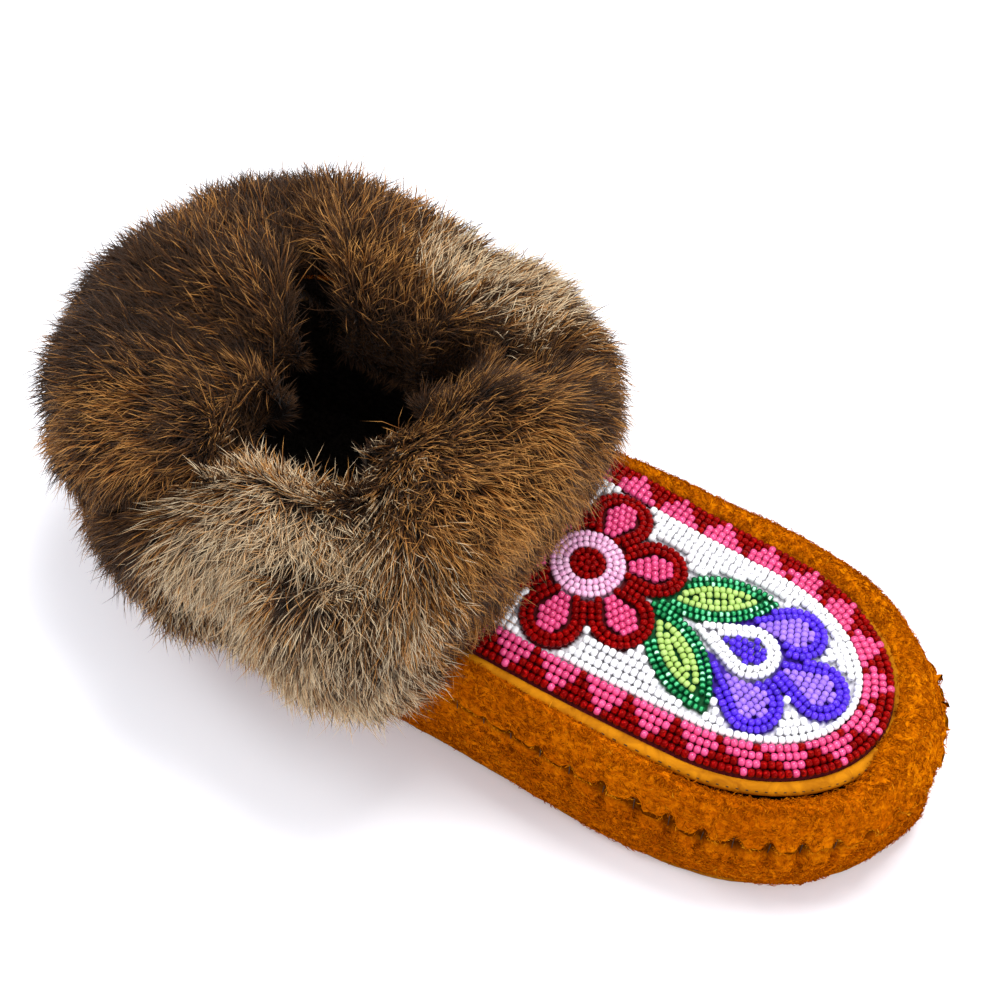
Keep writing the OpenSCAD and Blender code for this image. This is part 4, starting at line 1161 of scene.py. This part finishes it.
def hair(name, count, seed, length, width, lift, clump, spread=0.35, shine=0.15):
    """One layer of fur: bent tapering hairs over the pelt, gathered into locks."""
    r = np.random.default_rng(seed)
    i, j = pick(pelt_grid, r, count, weight)
    P, N = at(pelt_grid, i, j), unit(at(normal_grid, i, j))
    Fl, Ar = unit(at(flow_grid, i, j)), unit(at(around_grid, i, j))
    t = i / (FR - 1)
    side = 0.55 * noise(P, 24, 220) + 0.35 * noise(P, 9, 221) + r.normal(0, spread, count)
    F0 = Fl + Ar * side[:, None]
    for c in WHIRLS:
        dw = P - c
        rw = np.linalg.norm(dw, axis=1)
        away = unit(dw - N * np.sum(dw * N, 1, keepdims=True) + 1e-6)
        F0 = F0 + away * (2.4 * gauss(rw, 9))[:, None]
    crown = sum(gauss(np.linalg.norm(P - c, axis=1), 7) for c in WHIRLS)
    F0 = unit(F0 - N * np.sum(F0 * N, 1, keepdims=True))
    li = np.radians(lift + r.normal(0, 9, count) + 12 * noise(P, 7, 222))
    li = li * (1 - 0.5 * sm((t - 0.73) / 0.12))
    cl = np.clip(at(cleft_grid, i, j), 0, 1)
    inner = sm((t - 0.73) / 0.12)
    L = length * r.uniform(0.75, 1.2, count) * (1 - 0.5 * inner) * (1 - 0.4 * cl)
    L = L * (1 + 0.15 * noise(P, 15, 223))
    # locks: each hair leans to the middle line of its own lock
    LR, LC = 5.0, 2.8
    jc = np.floor(j / LC)
    ji = jc.astype(np.int64)
    ir = np.floor(i / LR + hash01(ji, ji * 0, ji * 0, 310))
    h = [hash01(ir.astype(np.int64), ji, ji * 0, 300 + a) for a in range(2)]
    off = (jc + 0.25 + 0.5 * h[1]) * LC - j
    pull = Ar * (off * 0.75)[:, None]
    gap = np.clip(np.abs(off) / LC, 0, 1)
    d0 = unit(N * np.sin(li)[:, None] + F0 * np.cos(li)[:, None])
    sd = unit(np.cross(d0, N))
    up = np.cross(sd, d0)
    g = np.array([0, 0, -1.0])
    w = (width * r.uniform(0.75, 1.25, count))[:, None]
    Lk = L[:, None]
    curl = r.normal(0, 0.18, count)[:, None]
    p0 = P - N * 0.6
    p1 = p0 + d0 * Lk * 0.34 + pull * clump * 0.25
    d1 = unit(d0 * 1.0 + F0 * 0.28 + sd * curl + g * 0.05)
    p2 = p1 + d1 * Lk * 0.34 + pull * clump * 0.35
    d2 = unit(d1 + F0 * 0.25 + sd * curl * 1.6 + g * 0.12)
    p3 = p2 + d2 * Lk * 0.32 + pull * clump * 0.2
    rings = []
    for p, k in ((p0, 0.9), (p1, 1.0), (p2, 0.75)):
        rings += [p + sd * w * k, p + (-0.5 * sd + 0.75 * up) * w * k, p + (-0.5 * sd - 0.75 * up) * w * k]
    V = np.stack(rings + [p3], 1).reshape(-1, 3)
    tris = []
    for lvl in (0, 3):
        for a_ in range(3):
            e = (a_ + 1) % 3
            tris += [[lvl + a_, lvl + e, lvl + 3 + e], [lvl + a_, lvl + 3 + e, lvl + 3 + a_]]
    tris += [[6, 7, 9], [7, 8, 9], [8, 6, 9]]
    F = ((np.arange(count) * 10)[:, None, None] + np.array(tris)[None]).reshape(-1, 3)
    vv = np.tile([0, 0, 0, 0.34, 0.34, 0.34, 0.68, 0.68, 0.68, 1.0], count)
    pl = at(pale_grid, i, j)
    tuft = h[0]
    deg = j * 360 / FC
    gold = shine + 0.2 * noise(P, 16, 230) + 0.5 * (tuft - 0.5) + r.normal(0, 0.12, count)
    # Painted shade: the value, and with it the hair's brightness, falls in the gaps between locks, in the
    # clefts, in the hollows at the whirls' crowns and on the inner side. The value is also lower round the
    # back and higher at the front.
    gold = gold - 0.3 * sm((gap - 0.22) / 0.35)
    gold = np.clip(gold - 0.15 * bell(deg, 150, 110) + 0.17 * bell(deg, -15, 55), 0, 0.5) * (1 - crown)
    gold = gold * (1 - 0.95 * cl) * (1 - 0.85 * inner)
    pm = pl * (1 + 0.5 * noise(P, 6, 231)) * (1 - crown)
    u = np.where(r.random(count) < pm - 0.08, r.uniform(0.64, 0.95, count), gold)
    make(name, V, F, MAT["fur"], uv=np.c_[np.repeat(u, 10), vv])


for k in range(8):
    hair(f"fur_pile_{k + 1}", 13000, 400 + k, length=10.3, width=0.16, lift=30, clump=0.9)
for k in range(2):
    hair(f"fur_guard_{k + 1}", 9000, 500 + k, length=13.2, width=0.11, lift=34, clump=0.45, spread=0.5,
         shine=0.34)

# ---------------------------------------------------------------- ankle collar and its lining
fa = np.linspace(0, 2 * np.pi, 320, endpoint=False)
RIBBON = ((0, 0), (0, 0.5), (0, 0.97), (0.5, 1.02), (1, 0.97), (1, 0.5), (1, 0), (0.5, -0.02))
for name, d0, d1, lo_, hi_, look, replaced in (
        ("soft_collar", 0.9, -0.9, 0, 1, "suede", "ankle_collar"),
        ("soft_lining", -1.1, -2.3, -0.3, 0.97, "lining", "collar_lining")):
    foot = 46.6 + 2.6 * np.maximum(0, np.cos(fa)) ** 6
    depth = {0: d0, 0.5: (d0 + d1) / 2, 1: d1}
    keys = [np.stack([depth[d] + 0 * fa, foot + (lo_ + (hi_ - lo_) * q) * (66 - foot)], -1)
            for d, q in RIBBON]
    G = round_ankle(spline(keys, 64, True), fa[None])
    G = lean(G, 0.5 * noise(G * [1, 1, 0.3], 9, 341) + 0.12 * noise(G, 2.2, 342))
    sheet(name, G, True, True, look, [replaced])

# ---------------------------------------------------------------- carried-over CAD pieces
KEPT_CAD = (("insole_board", "board"), ("heel_seam_thread", "thread_dark"), ("collar_thread", "thread_dark"))
for n, m in KEPT_CAD:
    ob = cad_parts[n]
    ob.data.materials.clear()
    ob.data.materials.append(MAT[m])

# ---------------------------------------------------------------- stage, light, camera
# the floor glows a little, more with distance, so that its far part stays light in low views
floor_mat, floor_tree, floor_bsdf = new_mat("floor", 0.9, 0.1, (0.93, 0.93, 0.95))
floor_bsdf.inputs["Emission Color"].default_value = (0.95, 0.95, 1, 1)
position = floor_tree.nodes.new("ShaderNodeNewGeometry")
distance = floor_tree.nodes.new("ShaderNodeVectorMath")
glow = floor_tree.nodes.new("ShaderNodeMapRange")
distance.operation = "LENGTH"
for slot_, val in (("From Min", 0.5), ("From Max", 1.6), ("To Min", 0.08), ("To Max", 0.45)):
    glow.inputs[slot_].default_value = val
floor_tree.links.new(position.outputs["Position"], distance.inputs[0])
floor_tree.links.new(distance.outputs["Value"], glow.inputs["Value"])
floor_tree.links.new(glow.outputs["Result"], floor_bsdf.inputs["Emission Strength"])
bpy.ops.mesh.primitive_plane_add(size=8)
floor = bpy.context.object
floor.name = "floor"
floor.data.materials.append(floor_mat)

scene = bpy.context.scene
scene.view_settings.view_transform = "Standard"
world = bpy.data.worlds.new("studio")
scene.world = world
world.use_nodes = True
world_tree = world.node_tree
world_tree.nodes["Background"].inputs[0].default_value = (0.93, 0.94, 1.0, 1)
world_tree.nodes["Background"].inputs[1].default_value = 0.78
clean = world_tree.nodes.new("ShaderNodeBackground")     # the camera itself sees plain white beyond the floor
clean.inputs[0].default_value = (1, 1, 1, 1)
light_path, mixer = world_tree.nodes.new("ShaderNodeLightPath"), world_tree.nodes.new("ShaderNodeMixShader")
world_tree.links.new(light_path.outputs["Is Camera Ray"], mixer.inputs[0])
world_tree.links.new(world_tree.nodes["Background"].outputs[0], mixer.inputs[1])
world_tree.links.new(clean.outputs[0], mixer.inputs[2])
world_tree.links.new(mixer.outputs[0], world_tree.nodes["World Output"].inputs[0])


def area(name, loc, size, power, colour=(1, 1, 1)):
    l = bpy.data.lights.new(name, "AREA")
    l.energy, l.size, l.color = power, size, colour
    o = bpy.data.objects.new(name, l)
    scene.collection.objects.link(o)
    o.location = loc
    o.rotation_euler = (Vector((0, 0, 0.03)) - Vector(loc)).to_track_quat("-Z", "Y").to_euler()


area("key", (0.05, 0.36, 1.2), 0.5, 11)
area("fill", (-0.6, -0.2, 1.0), 0.35, 3.3, (0.97, 0.98, 1))
area("front", (0.95, -0.2, 0.6), 0.6, 4.0)

CAMERA_AT = (0.1263, -0.2292, 0.4314)            # metres
CAMERA_TURN, CAMERA_DOWN = 30, 55                # degrees left of the Y axis, and below level
LENS = 74.2
cam = bpy.data.cameras.new("camera")
cam_ob = bpy.data.objects.new("camera", cam)
scene.collection.objects.link(cam_ob)
scene.camera = cam_ob
cam.sensor_width, cam.lens, cam.clip_start = 36, LENS, 0.01
az, el = math.radians(CAMERA_TURN), math.radians(CAMERA_DOWN)
fwd = Vector((-math.sin(az) * math.cos(el), math.cos(az) * math.cos(el), -math.sin(el)))
cam_ob.location = CAMERA_AT
cam_ob.rotation_euler = fwd.to_track_quat("-Z", "Y").to_euler()
